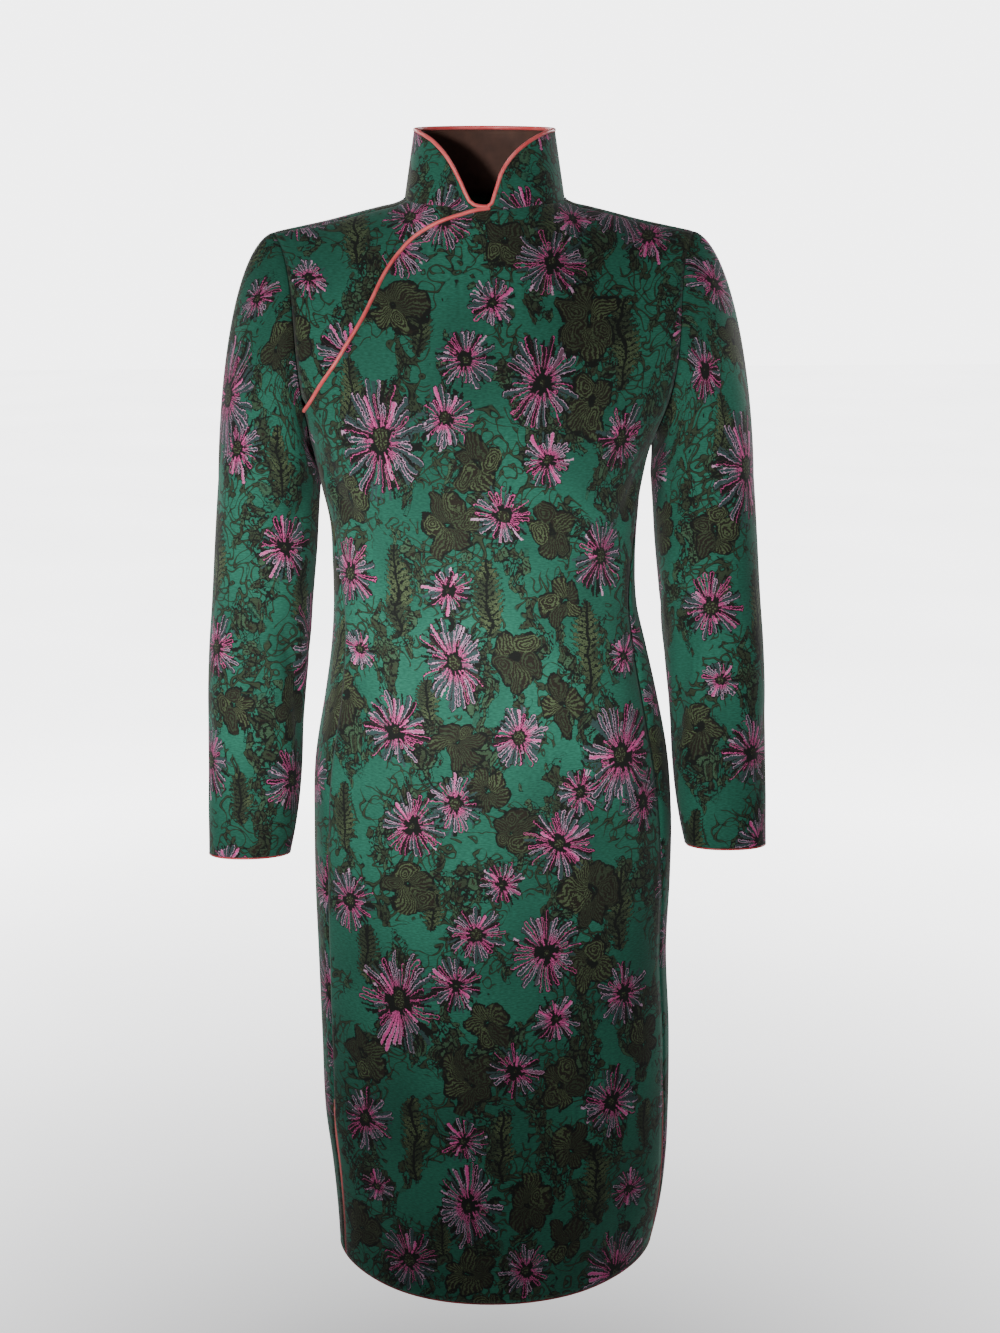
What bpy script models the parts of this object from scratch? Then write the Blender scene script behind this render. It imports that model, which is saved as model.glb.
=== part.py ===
"""Cheongsam dress: panels, sleeves, collar and piping as thin cloth walls, 0.3 mm apart at the seams.

The wearer faces -Y, and the wearer's left is +X. The origin lies between the two points where the
shoulders meet the neck, which is where the wearer holds the dress up.
"""

import bpy
import numpy as np

# Cloth, seams and piping, in metres. The gap of a piping is from its surface to the cloth's edge.
WALL = 0.0016
COLLAR_WALL = 0.0020
SEAM_GAP = 0.0006
BROAD_PIPING = 0.0018
THIN_PIPING = 0.0010
PIPING_GAP = 0.0003

# Levels, measured from the side neck points. The slits open just above SLIT_Z.
PIT_Z = -0.213
CAP_Z = -0.200
SLIT_Z = -0.904
HEM_Z = -1.036
HEM_SIDE_RISE = 0.016
# The armpit's level as a drop, in degrees: see panel_point.
PIT_DROP = 90.0 + 90.0 * (CAP_Z - PIT_Z)

# Neck opening.
NECK_HALF_WIDTH = 0.0720
NECK_FRONT = 0.0600
NECK_BACK = 0.0570
SHOULDER_SEAM_Y = -0.014
SHOULDER_SEAM_EASE = 0.75
SHOULDER_POINT_X = 0.1895

# Body sections: height, half width, front depth, back depth, centre across, squareness of the oval.
BODY_SECTIONS = (
    (0.030, 0.2000, 0.0980, 0.0880, 0.0000, 2.35),
    (-0.060, 0.2000, 0.1050, 0.0950, 0.0000, 2.35),
    (-0.120, 0.1960, 0.1150, 0.1030, 0.0000, 2.35),
    (-0.170, 0.1800, 0.1230, 0.1050, -0.0010, 2.35),
    (-0.213, 0.1580, 0.1260, 0.1020, -0.0030, 2.35),
    (-0.255, 0.1480, 0.1200, 0.0970, -0.0036, 2.30),
    (-0.290, 0.1425, 0.1120, 0.0930, -0.0015, 2.25),
    (-0.330, 0.1410, 0.1030, 0.0900, -0.0012, 2.20),
    (-0.370, 0.1420, 0.0980, 0.0900, 0.0000, 2.20),
    (-0.410, 0.1480, 0.0980, 0.0940, 0.0032, 2.20),
    (-0.450, 0.1556, 0.1010, 0.1010, 0.0050, 2.20),
    (-0.520, 0.1680, 0.1070, 0.1130, 0.0060, 2.20),
    (-0.580, 0.1713, 0.1100, 0.1190, 0.0072, 2.20),
    (-0.640, 0.1713, 0.1110, 0.1200, 0.0070, 2.20),
    (-0.710, 0.1693, 0.1110, 0.1180, 0.0066, 2.20),
    (-0.800, 0.1705, 0.1120, 0.1160, 0.0098, 2.15),
    (-0.880, 0.1697, 0.1130, 0.1150, 0.0112, 2.10),
    (-0.930, 0.1663, 0.1130, 0.1150, 0.0134, 2.06),
    (-0.980, 0.1618, 0.1120, 0.1140, 0.0130, 2.02),
    (-1.040, 0.1540, 0.1100, 0.1110, 0.0080, 2.00),
)

# Shoulder line: distance across, height of the front's top, height of the back's top.
SHOULDER_LINE = (
    (-0.020, 0.0370, 0.0610),
    (0.000, 0.0400, 0.0650),
    (0.020, 0.0370, 0.0610),
    (0.040, 0.0275, 0.0470),
    (0.055, 0.0150, 0.0270),
    (0.065, 0.0060, 0.0110),
    (0.072, 0.0010, 0.0010),
    (0.080, -0.0028, -0.0028),
    (0.092, -0.0056, -0.0056),
    (0.115, -0.0113, -0.0113),
    (0.140, -0.0178, -0.0178),
    (0.165, -0.0232, -0.0232),
    (0.190, -0.0285, -0.0285),
    (0.215, -0.0340, -0.0340),
)

# Armhole seam: height, distance across.
ARMHOLE = (
    (-0.213, 0.1580),
    (-0.200, 0.1592),
    (-0.185, 0.1622),
    (-0.165, 0.1662),
    (-0.140, 0.1697),
    (-0.110, 0.1722),
    (-0.080, 0.1745),
    (-0.055, 0.1785),
    (-0.040, 0.1830),
    (-0.031, 0.1880),
    (-0.020, 0.1930),
)

# Side seams: height, angle round from the centre front in degrees.
SIDE_SEAM = (
    (-0.213, 90.0),
    (-0.235, 87.0),
    (-0.260, 83.0),
    (-0.300, 76.0),
    (-0.350, 69.0),
    (-0.450, 64.0),
    (-0.600, 66.0),
    (-0.750, 68.5),
    (-0.880, 70.0),
    (-0.950, 72.0),
    (-1.040, 75.0),
)

# Placket edge on the wearer's right: distance across, height.
PLACKET = (
    (0.0000, -0.0082),
    (-0.0120, -0.0092),
    (-0.0200, -0.0118),
    (-0.0320, -0.0152),
    (-0.0450, -0.0202),
    (-0.0580, -0.0274),
    (-0.0680, -0.0350),
    (-0.0765, -0.0440),
    (-0.0850, -0.0545),
    (-0.0920, -0.0655),
    (-0.0990, -0.0790),
    (-0.1090, -0.0980),
    (-0.1220, -0.1190),
    (-0.1350, -0.1400),
    (-0.1470, -0.1580),
    (-0.1560, -0.1740),
    (-0.1622, -0.1850),
)
PLACKET_COLUMNS = (0.0, 0.06, 0.13, 0.21, 0.30, 0.40, 0.50, 0.60, 0.70, 0.80, 0.91, 1.0)

# Under lap, in degrees of drop: how far it reaches below the placket's edge, the least it hangs below its
# own top edge, the spacing of the rows beside the placket, and where above the placket it starts to sink
# and how soon it is LAP_DIP metres deep.
LAP_REACH = 8.0
LAP_LEAST = 3.0
LAP_NEAR = 4.4
LAP_SINK_START = 4.8
LAP_SINK_RUN = 2.4
LAP_DIP = 0.0032

# Columns on one half of the top edge, by distance across: round the neck, the last one beside its corner,
# and along the shoulder seam.
NECK_X = (0.0, 0.0125, 0.0250, 0.0375, 0.0490, 0.0600)
NECK_CORNER_X = 0.0668
SHOULDER_X = (0.088, 0.108, 0.130, 0.154, 0.176, 0.186)
# The back's columns beside the neck's corner: distance across and back, and the distance across at which
# the column runs lower down. The last row's point is the corner itself, in front of the shoulder line.
BACK_CORNER = (
    (0.0690, 0.0160, 0.0700),
    (0.0720, 0.0000, 0.0740),
)
BACK_CORNER_COLUMN_X = 0.0785
CAP_ROWS = (0.0, 0.035, 0.12, 0.21, 0.30, 0.39, 0.49, 0.59, 0.69, 0.79, 0.87, 0.93, 0.97, 0.992, 1.0)
LOW_ROWS = (
    -0.213, -0.231, -0.251, -0.273, -0.297, -0.323, -0.350, -0.379, -0.410, -0.444, -0.482,
    -0.525, -0.575, -0.634, -0.705, -0.785, -0.878, -0.889, -0.904, -0.945, -0.990, -1.036,
)

# Side slits: height, degrees by which each edge stands back from the seam line.
SLIT_OPENING = (
    (-1.040, 2.4),
    (-0.985, 2.2),
    (-0.930, 2.0),
    (-0.904, 1.7),
    (-0.892, 0.7),
    (-0.880, 0.0),
    (-0.860, 0.0),
)

# Sleeve sections below the armpit: height, centre across, centre forward, half width, half depth and the
# rise of the ring towards its front.
SLEEVE_SECTIONS = (
    (-0.250, 0.2018, 0.0010, 0.0457, 0.0610, 0.000),
    (-0.280, 0.2038, 0.0005, 0.0463, 0.0595, 0.000),
    (-0.310, 0.2055, 0.0000, 0.0470, 0.0580, 0.000),
    (-0.366, 0.2095, -0.0020, 0.0472, 0.0550, 0.000),
    (-0.405, 0.2128, -0.0040, 0.0474, 0.0530, 0.010),
    (-0.443, 0.2160, -0.0070, 0.0463, 0.0505, 0.030),
    (-0.482, 0.2182, -0.0110, 0.0450, 0.0480, 0.050),
    (-0.521, 0.2194, -0.0160, 0.0442, 0.0455, 0.080),
    (-0.561, 0.2221, -0.0200, 0.0426, 0.0430, 0.110),
    (-0.585, 0.2242, -0.0230, 0.0406, 0.0405, 0.125),
    (-0.602, 0.2262, -0.0255, 0.0388, 0.0385, 0.140),
)
SLEEVE_SQUARENESS = 2.15
SLEEVE_SHIFT = 0.002
# Where the shoulder seam runs onto a sleeve's rings, in degrees forward of its outer side.
SLEEVE_SEAM_TURN = 8.0
SLEEVE_HEAD_ROWS = (0.0, 0.05, 0.14, 0.24, 0.36, 0.50, 0.66, 0.83, 1.0)
SLEEVE_LOW_ROWS = (
    -0.275, -0.303, -0.332, -0.361, -0.390, -0.418, -0.446, -0.474, -0.503, -0.530, -0.555,
    -0.579, -0.602,
)
# How a sleeve's top and underarm lines leave the armhole and meet the first level ring, for the cubic.
SLEEVE_TOP_START = (0.112, 0.0, -0.034)
SLEEVE_PIT_START = (0.012, 0.0, -0.004)
SLEEVE_TOP_END = (0.008, 0.0, -0.250)
SLEEVE_PIT_END = (-0.002, 0.0, -0.030)
SLEEVE_HEAD_BULGE = 0.030

# Collar: half width, front and back depth and height of the top edge.
COLLAR_TOP_HALF_WIDTH = 0.0632
COLLAR_TOP_FRONT = 0.0560
COLLAR_TOP_BACK = 0.0500
COLLAR_TOP_Z = 0.0570
COLLAR_BACK_RISE = 0.004
COLLAR_ROWS = (0.0, 0.25, 0.5, 0.75, 1.0)
# Collar edge: angle round from the centre front in degrees, share of the full height.
COLLAR_EDGE_RIGHT = (
    (8.0, 0.04),
    (14.0, 0.13),
    (20.0, 0.26),
    (27.0, 0.45),
    (38.0, 0.66),
    (52.0, 0.82),
    (68.0, 0.93),
    (84.0, 1.00),
    (100.0, 1.00),
)
COLLAR_EDGE_LEFT = (
    (-2.0, 0.04),
    (8.0, 0.18),
    (14.0, 0.35),
    (20.0, 0.48),
    (28.0, 0.62),
    (42.0, 0.78),
    (58.0, 0.90),
    (84.0, 1.00),
    (100.0, 1.00),
)

# Folds on the body: angle and height of each end, width and depth. A minus depth is a ridge. Angles become
# distances on a cylinder of the radius given.
BODY_FOLD_RADIUS = 0.15
BODY_FOLDS = (
    (-66.0, -0.225, -40.0, -0.330, 0.018, 0.0035),
    (70.0, -0.222, 48.0, -0.320, 0.017, 0.0032),
    (62.0, -0.395, 60.0, -0.620, 0.020, 0.0035),
    (-58.0, -0.400, -30.0, -0.370, 0.020, 0.0022),
    (52.0, -0.410, 22.0, -0.385, 0.020, 0.0020),
    (-20.0, -0.640, -8.0, -0.860, 0.035, -0.0025),
    (34.0, -0.620, 26.0, -0.900, 0.035, 0.0030),
    (150.0, -0.360, 120.0, -0.400, 0.022, 0.0030),
    (-150.0, -0.350, -118.0, -0.390, 0.022, 0.0030),
    (172.0, -0.560, 165.0, -0.860, 0.040, 0.0030),
)

# Folds on a sleeve: angle round (0 outer, 90 front, 180 inner) and height of each end, width, depth.
SLEEVE_FOLD_RADIUS = 0.05
SLEEVE_FOLDS = (
    (120.0, -0.385, 165.0, -0.500, 0.012, 0.0040),
    (60.0, -0.400, 105.0, -0.440, 0.014, 0.0025),
    (250.0, -0.390, 205.0, -0.430, 0.014, 0.0030),
    (150.0, -0.235, 110.0, -0.300, 0.012, 0.0030),
    (215.0, -0.235, 250.0, -0.300, 0.012, 0.0030),
    (100.0, -0.520, 60.0, -0.560, 0.014, 0.0018),
)

# Rounds of the search for a height that depends on itself, and the height that it starts from.
SEARCH_ROUNDS = 14
SEARCH_START_Z = -0.05

COLOURS = {
    "cloth": (0.030, 0.120, 0.110, 1.0),
    "collar_cloth": (0.035, 0.130, 0.120, 1.0),
    "satin": (0.780, 0.280, 0.230, 1.0),
}


def look_up(table, column, at):
    """A column of a table at the given values of its first column, on a smooth cubic through its rows."""
    rows = np.array(table, dtype=float)
    rows = rows[np.argsort(rows[:, 0])]
    key = rows[:, 0]
    if not np.isscalar(column):
        choices = [look_up(table, number, at) for number in range(1, rows.shape[1])]
        return np.choose(column - 1, choices)
    value = rows[:, column]
    slope = np.gradient(value, key)
    at = np.clip(np.asarray(at, dtype=float), key[0], key[-1])
    index = np.clip(np.searchsorted(key, at) - 1, 0, len(key) - 2)
    width = key[index + 1] - key[index]
    t = (at - key[index]) / width
    start = (1 + 2 * t) * (1 - t) ** 2 * value[index] + t * (1 - t) ** 2 * width * slope[index]
    end = t * t * (3 - 2 * t) * value[index + 1] + t * t * (t - 1) * width * slope[index + 1]
    return start + end


def fold_depth(folds, turn, height, radius):
    """How far the folds press in at an angle and height: a soft trough along each line, faded at its ends."""
    depth = np.zeros(np.broadcast(turn, height).shape)
    for turn_0, height_0, turn_1, height_1, width, deep in folds:
        along = np.array([np.radians(turn_1 - turn_0) * radius, height_1 - height_0])
        length = np.hypot(along[0], along[1])
        off = np.radians((turn - turn_0 + 180.0) % 360.0 - 180.0) * radius
        rise = height - height_0
        share = (off * along[0] + rise * along[1]) / length**2
        aside = (off * along[1] - rise * along[0]) / length
        fade = np.exp(-((np.clip(np.abs(share - 0.5) - 0.35, 0, None) / 0.18) ** 2))
        depth = depth + deep * fade * np.exp(-((aside / width) ** 2))
    return depth


def body_turn(across, height):
    """The angle round a section, in degrees from its nearer centre line, of points this far across."""
    share = np.clip(across / look_up(BODY_SECTIONS, 1, height), 0, 1)
    return np.degrees(np.arcsin(share ** (look_up(BODY_SECTIONS, 5, height) / 2)))


def edge_turn(height, back):
    """The angle of a panel's edge from its own centre line: the side seam, and the armhole above it."""
    seam = look_up(SIDE_SEAM, 1, height)
    seam = (180.0 - seam if back else seam) - np.maximum(look_up(SLIT_OPENING, 1, height), 0)
    arm = body_turn(look_up(ARMHOLE, 1, height), height)
    return np.where(height > PIT_Z, arm, seam)


def body_x(turn, height):
    """Distance across, before the section's own shift, at an angle from the centre line."""
    width = look_up(BODY_SECTIONS, 1, height)
    sine = np.sin(np.radians(turn))
    return width * np.sign(sine) * np.abs(sine) ** (2 / look_up(BODY_SECTIONS, 5, height))


def lift(turn, height, close, back):
    """Points on the cloth's outer face. Each section is a squared oval whose depth is multiplied by close,
    which falls from 1 at CAP_Z to 0 at the shoulder line; below 0 the point lies past the shoulder line.
    The turn is counted in degrees from the panel's own centre line."""
    turn, height, close = np.broadcast_arrays(turn, height, close)
    across = body_x(turn, height)
    cosine = np.cos(np.radians(turn))
    on_back = (cosine * close < 0) != back
    depth = np.where(on_back, look_up(BODY_SECTIONS, 3, height), look_up(BODY_SECTIONS, 2, height))
    depth = depth * np.abs(cosine) ** (2 / look_up(BODY_SECTIONS, 5, height)) * np.abs(close)
    around = 180.0 - turn if back else turn
    folded = fold_depth(BODY_FOLDS, around, height, BODY_FOLD_RADIUS) * np.abs(close)
    aside = 0.6 * across
    span = np.hypot(aside, depth) + 1e-6
    x = across - aside * folded / span + look_up(BODY_SECTIONS, 4, height)
    y = np.where(on_back, 1.0, -1.0) * depth * (1 - folded / span)
    return np.stack([x, y, height], axis=-1)


def panel_point(column, drop, back, shift=0.0):
    """Points of a panel. Column is the share of its half width. Drop runs from 0 degrees at the shoulder
    line to 90 at CAP_Z round a quarter oval, less than 0 past the line; above 90 it falls a metre in 90."""
    column, drop, shift = np.broadcast_arrays(column, drop, shift)
    angle = np.minimum(drop, 90.0)
    height = np.full(column.shape, SEARCH_START_Z)
    for _ in range(SEARCH_ROUNDS):
        across = body_x(column * edge_turn(height, back), height) + shift
        on_back = (drop < 0) != back
        top = look_up(SHOULDER_LINE, np.where(on_back, 2, 1), np.abs(across))
        height = CAP_Z + np.cos(np.radians(angle)) * (top - CAP_Z) - np.maximum(drop - 90.0, 0) / 90.0
    turn = np.where(
        shift == 0,
        column * edge_turn(height, back),
        np.sign(across) * body_turn(np.abs(across), height),
    )
    return lift(turn, height, np.sin(np.radians(angle)), back)


def plan_angle(across, forward, back):
    """The cap angle in degrees, and the height, at which the surface passes over a point of the plan."""
    height = np.full(np.shape(across), SEARCH_START_Z)
    for _ in range(SEARCH_ROUNDS):
        width = look_up(BODY_SECTIONS, 1, height)
        depth = look_up(BODY_SECTIONS, 3 if back else 2, height)
        square = look_up(BODY_SECTIONS, 5, height)
        flat = (1 - np.clip(np.abs(across) / width, 0, 1) ** square) ** (1 / square)
        sine = np.clip(np.abs(forward) / (depth * flat), 0, 1)
        top = look_up(SHOULDER_LINE, 2 if back else 1, np.abs(across))
        height = CAP_Z + np.sqrt(1 - sine**2) * (top - CAP_Z)
    return np.degrees(np.arcsin(sine)), height


def column_of(across, height, back):
    """The share of the panel's half width at which a point lies."""
    return body_turn(np.abs(across), height) / edge_turn(height, back)


def placket_angles(columns):
    """The cap angle, in degrees, of the placket's edge at each column of the wearer's right half."""
    line = np.linspace(0, 1, 400)
    rows = np.array(PLACKET)
    run = np.concatenate([[0], np.cumsum(np.hypot(*np.diff(rows, axis=0).T))])
    keyed = np.column_stack([run / run[-1], rows])
    across = np.abs(look_up(keyed, 1, line))
    height = look_up(keyed, 2, line)
    top = look_up(SHOULDER_LINE, 1, across)
    angle = np.degrees(np.arccos(np.clip((height - CAP_Z) / (top - CAP_Z), 0, 1)))
    column = np.maximum.accumulate(column_of(across, height, False) + 1e-6 * line)
    found = np.interp(columns, column, angle)
    shoulder = top_edge(False)[1][-1]
    found[-1] = shoulder + (PIT_DROP - shoulder) * CAP_ROWS[len(PLACKET_COLUMNS) - 1]
    return found


def top_edge(back):
    """Columns of one half of the top edge from the centre to the shoulder point: column, cap angle in
    degrees and sideways shift. The neck's oval comes first, then the shoulder seam in front of the line."""
    corner = NECK_HALF_WIDTH * np.sqrt(1 - (SHOULDER_SEAM_Y / NECK_FRONT) ** 2)
    neck = np.array(NECK_X if back else NECK_X + (NECK_CORNER_X,))
    forward = (NECK_BACK if back else NECK_FRONT) * np.sqrt(1 - (neck / NECK_HALF_WIDTH) ** 2)
    angle, height = plan_angle(neck, forward, back)
    columns = [column_of(neck, height, back)]
    angles = [angle]
    shifts = [0 * neck]
    if back:
        across, behind, place = np.array(BACK_CORNER).T
        angle, height = plan_angle(across, behind, True)
        columns.append(column_of(place, height, True))
        angles.append(angle)
        shifts.append(across - place)
    place = BACK_CORNER_COLUMN_X if back else corner
    angle, height = plan_angle(corner, SHOULDER_SEAM_Y, False)
    columns.append([column_of(place, height, back)])
    angles.append([-angle if back else angle])
    shifts.append([corner - place])
    shoulder = np.array(SHOULDER_X + (SHOULDER_POINT_X,))
    share = (shoulder - corner) / (SHOULDER_POINT_X - corner)
    angle, height = plan_angle(shoulder, SHOULDER_SEAM_Y * (1 - SHOULDER_SEAM_EASE * share**3), False)
    columns.append(column_of(shoulder, height, back))
    angles.append(-angle if back else angle)
    shifts.append(0 * shoulder)
    columns = np.concatenate(columns)
    columns[-1] = 1.0
    return columns, np.concatenate(angles), np.concatenate(shifts)


def hem_height(turn):
    """Height of the hem: straight, and a little higher at the side seams."""
    return HEM_Z + HEM_SIDE_RISE * np.abs(np.sin(np.radians(turn))) ** 3


def low_points(columns, back):
    """The rows below the armpits: level lines that bend little by little to the shape of the hem."""
    heights = np.array(LOW_ROWS)[:, None]
    fall = (PIT_Z - heights) / (PIT_Z - HEM_Z)
    turn = columns[None, :] * edge_turn(heights - 1e-9, back)
    heights = heights + fall**4 * (hem_height(turn) - HEM_Z)
    turn = columns[None, :] * edge_turn(heights - 1e-9, back)
    return lift(turn, heights, 1.0, back)


def cap_points(columns, top, back, shifts=0.0):
    """The rows from the top edge to the armpits, spread between them by CAP_ROWS."""
    share = np.array(CAP_ROWS)[:, None]
    drops = top[None, :] + (PIT_DROP - top[None, :]) * share
    return panel_point(columns[None, :], drops, back, shifts * np.clip(1 - share / 0.5, 0, 1) ** 2)


def towards(edge, inner, distance):
    """Points moved from an edge towards the points beside them by a distance."""
    step = inner - edge
    length = np.linalg.norm(step, axis=-1, keepdims=True)
    return edge + step / np.maximum(length, 1e-9) * np.asarray(distance)[..., None]


def trim_sides(points):
    """Both side edges drawn in by half a seam gap."""
    for edge, inner in ((0, 1), (-1, -2)):
        line = points[:, edge]
        points[:, edge] = towards(line, points[:, inner], np.full(len(line), SEAM_GAP / 2))
    return points


def grid_faces(rows, columns, wrap=False):
    """Four-sided faces between the rows and columns of a grid, facing out when rows run down and columns
    run to the wearer's left on the front."""
    across = columns if wrap else columns - 1
    row, column = np.meshgrid(np.arange(rows - 1), np.arange(across), indexing="ij")
    here = (row * columns + column).ravel()
    there = (row * columns + (column + 1) % columns).ravel()
    return np.column_stack([here, here + columns, there + columns, there])


def grid_normals(points):
    """Outward unit normals of a grid of points, from the run of its rows and columns."""
    normals = np.cross(np.gradient(points, axis=0), np.gradient(points, axis=1))
    return normals / np.maximum(np.linalg.norm(normals, axis=-1, keepdims=True), 1e-12)


def front_points():
    """The front: a full half on the wearer's left, and on the right a half whose top follows the placket,
    one row lower at each column, to the armhole. Its points above that diagonal aren't used."""
    left_columns, left_top, _ = top_edge(False)
    right_columns = np.array(PLACKET_COLUMNS)
    right_top = placket_angles(right_columns)
    steps = np.arange(len(CAP_ROWS))
    share = np.array(CAP_ROWS)
    left = cap_points(left_columns, left_top, False)
    right = []
    for step in range(len(right_columns)):
        below = np.clip((share - share[step]) / max(1 - share[step], 1e-9), 0, 1)
        top = left_top[0] if step == 0 else right_top[step]
        drops = np.where(steps >= step, top + (PIT_DROP - top) * below, PIT_DROP)
        right.append(panel_point(-right_columns[step], drops, False))
    cap = np.concatenate([np.stack(right[:0:-1], axis=1), left], axis=1)
    columns = np.concatenate([-right_columns[:0:-1], left_columns])
    return np.concatenate([cap, low_points(columns, False)[1:]], axis=0)


def front_faces(points):
    """Grid faces without those above the placket, and one three-sided face at each step of its edge."""
    rows, columns = points.shape[:2]
    last = len(PLACKET_COLUMNS) - 1
    faces = [tuple(face) for face in grid_faces(rows, columns)]
    kept = [face for face in faces if face[0] % columns >= last - face[0] // columns]
    for row in range(last):
        column = last - 1 - row
        low = (row + 1) * columns + column
        kept.append((low, low + 1, row * columns + column + 1))
    return kept


def back_points():
    """The whole back, reaching over the shoulder line to the shoulder seams."""
    columns, top, shifts = top_edge(True)
    columns = np.concatenate([columns[:0:-1], -columns])
    top = np.concatenate([top[:0:-1], top])
    shifts = np.concatenate([shifts[:0:-1], -shifts])
    cap = cap_points(columns, top, True, shifts[None, :])
    return np.concatenate([cap, low_points(columns, True)[1:]], axis=0)


def placket_edge():
    """The placket's edge points and their outward normals."""
    columns = np.array(PLACKET_COLUMNS)
    drops = placket_angles(columns)
    points = panel_point(-columns, drops, False)
    down = panel_point(-columns, drops + 0.5, False) - points
    aside = panel_point(-columns + 0.01, drops, False) - points
    normals = np.cross(down, aside)
    return points, normals / np.linalg.norm(normals, axis=1, keepdims=True)


def lap_points():
    """The under lap: from the right shoulder seam and neck to a line below the placket, sunk under it."""
    columns, top, _ = top_edge(False)
    angles = placket_angles(np.array(PLACKET_COLUMNS))
    placket = np.interp(columns, PLACKET_COLUMNS, angles)
    columns = np.concatenate([-columns[::-1], columns[1:2]])
    top = np.concatenate([top[::-1], top[1:2]])
    placket = np.concatenate([placket[::-1], top[-1:] + 0.2])
    reach = LAP_REACH * np.sqrt(1 - np.abs(columns) ** 8)
    line = np.maximum(placket, top + LAP_LEAST)
    near = np.minimum(LAP_NEAR, 0.6 * (line - top))
    rows = [top + (line - near - top) * share for share in np.linspace(0, 1, len(CAP_ROWS) - 5)]
    rows += [line - near * 0.5, line, line + reach * 0.33, line + reach * 0.66, line + reach]
    even = top + (PIT_DROP - top) * np.array(CAP_ROWS)[:, None]
    weight = np.abs(columns) ** 6
    drops = np.array(rows) * (1 - weight) + even * weight
    points = panel_point(columns[None, :], drops, False)
    sunk = np.clip((drops - placket + LAP_SINK_START) / LAP_SINK_RUN, 0, 1)
    return points - grid_normals(points) * (LAP_DIP * sunk * sunk * (3 - 2 * sunk))[..., None]


def armhole_loop(side):
    """The armhole's points: from the shoulder seam down the front to the armpit and up the back."""
    _, top, _ = top_edge(False)
    share = np.array(CAP_ROWS)
    front = panel_point(side, top[-1] + (PIT_DROP - top[-1]) * share, False)
    back = panel_point(side, -top[-1] + (PIT_DROP + top[-1]) * share, True)
    return np.concatenate([front, back[-2:0:-1]])


def sleeve_points(side):
    """A sleeve: from the armhole each line bends out and down on a cubic to the first level ring, then runs
    through the sleeve's sections to the cuff."""
    loop = armhole_loop(side)
    count = len(CAP_ROWS) - 1
    steps = np.linalg.norm(np.diff(np.concatenate([loop, loop[:1]]), axis=0), axis=1)
    front = np.concatenate([[0], np.cumsum(steps[:count])])
    back = np.cumsum(steps[count:])
    front_turn = SLEEVE_SEAM_TURN + (180 - SLEEVE_SEAM_TURN) * front / front[-1]
    back_turn = 180 + (180 + SLEEVE_SEAM_TURN) * back[:-1] / back[-1]
    turn = np.radians(np.concatenate([front_turn, back_turn]))
    cosine = np.cos(turn)
    sine = np.sin(turn)
    power = 2 / SLEEVE_SQUARENESS
    flat = np.stack([np.sign(cosine) * np.abs(cosine) ** power, -np.sign(sine) * np.abs(sine) ** power])

    def ring(height):
        x = look_up(SLEEVE_SECTIONS, 1, height) + look_up(SLEEVE_SECTIONS, 3, height) * flat[0]
        y = look_up(SLEEVE_SECTIONS, 2, height) + look_up(SLEEVE_SECTIONS, 4, height) * flat[1]
        z = height - look_up(SLEEVE_SECTIONS, 5, height) * look_up(SLEEVE_SECTIONS, 4, height) * flat[1]
        return np.stack([side * x + SLEEVE_SHIFT, y, z], axis=-1)

    outer = ((1 + cosine) / 2)[:, None]
    mirror = np.array([side, 1, 1])
    start = (np.array(SLEEVE_TOP_START) * outer + np.array(SLEEVE_PIT_START) * (1 - outer)) * mirror
    start[:, 1] -= SLEEVE_HEAD_BULGE * sine
    end = (np.array(SLEEVE_TOP_END) * outer + np.array(SLEEVE_PIT_END) * (1 - outer)) * mirror
    first = ring(SLEEVE_SECTIONS[0][0])
    t = np.array(SLEEVE_HEAD_ROWS)[:, None, None]
    head = (
        (1 + 2 * t) * (1 - t) ** 2 * loop
        + t * (1 - t) ** 2 * start
        + t * t * (3 - 2 * t) * first
        + t * t * (t - 1) * end
    )
    low = np.stack([ring(height) for height in SLEEVE_LOW_ROWS])
    points = np.concatenate([head, low], axis=0)
    if side > 0:
        points = points[:, ::-1]
        turn = turn[::-1]
    around = np.concatenate([points[:, -1:], points, points[:, :1]], axis=1)
    normals = grid_normals(around)[:, 1:-1]
    pressed = fold_depth(SLEEVE_FOLDS, np.degrees(turn)[None, :], points[..., 2], SLEEVE_FOLD_RADIUS)
    points = points - normals * (pressed * (points[..., 2] < PIT_Z))[..., None]
    points[0] = towards(points[0], points[1], np.full(len(turn), SEAM_GAP / 2))
    return points


def neck_line():
    """The neck seam, from the collar's right front end round the back to its left front end."""
    columns, top, _ = top_edge(False)
    count = len(NECK_X) + 2
    front = panel_point(columns[:count], top[:count], False)
    columns, top, shifts = top_edge(True)
    back = panel_point(columns[:count], top[:count], True, shifts[:count])
    flip = np.array([-1, 1, 1])
    return np.concatenate([front[1:] * flip, back[:0:-1] * flip, back, front[::-1]])


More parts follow.
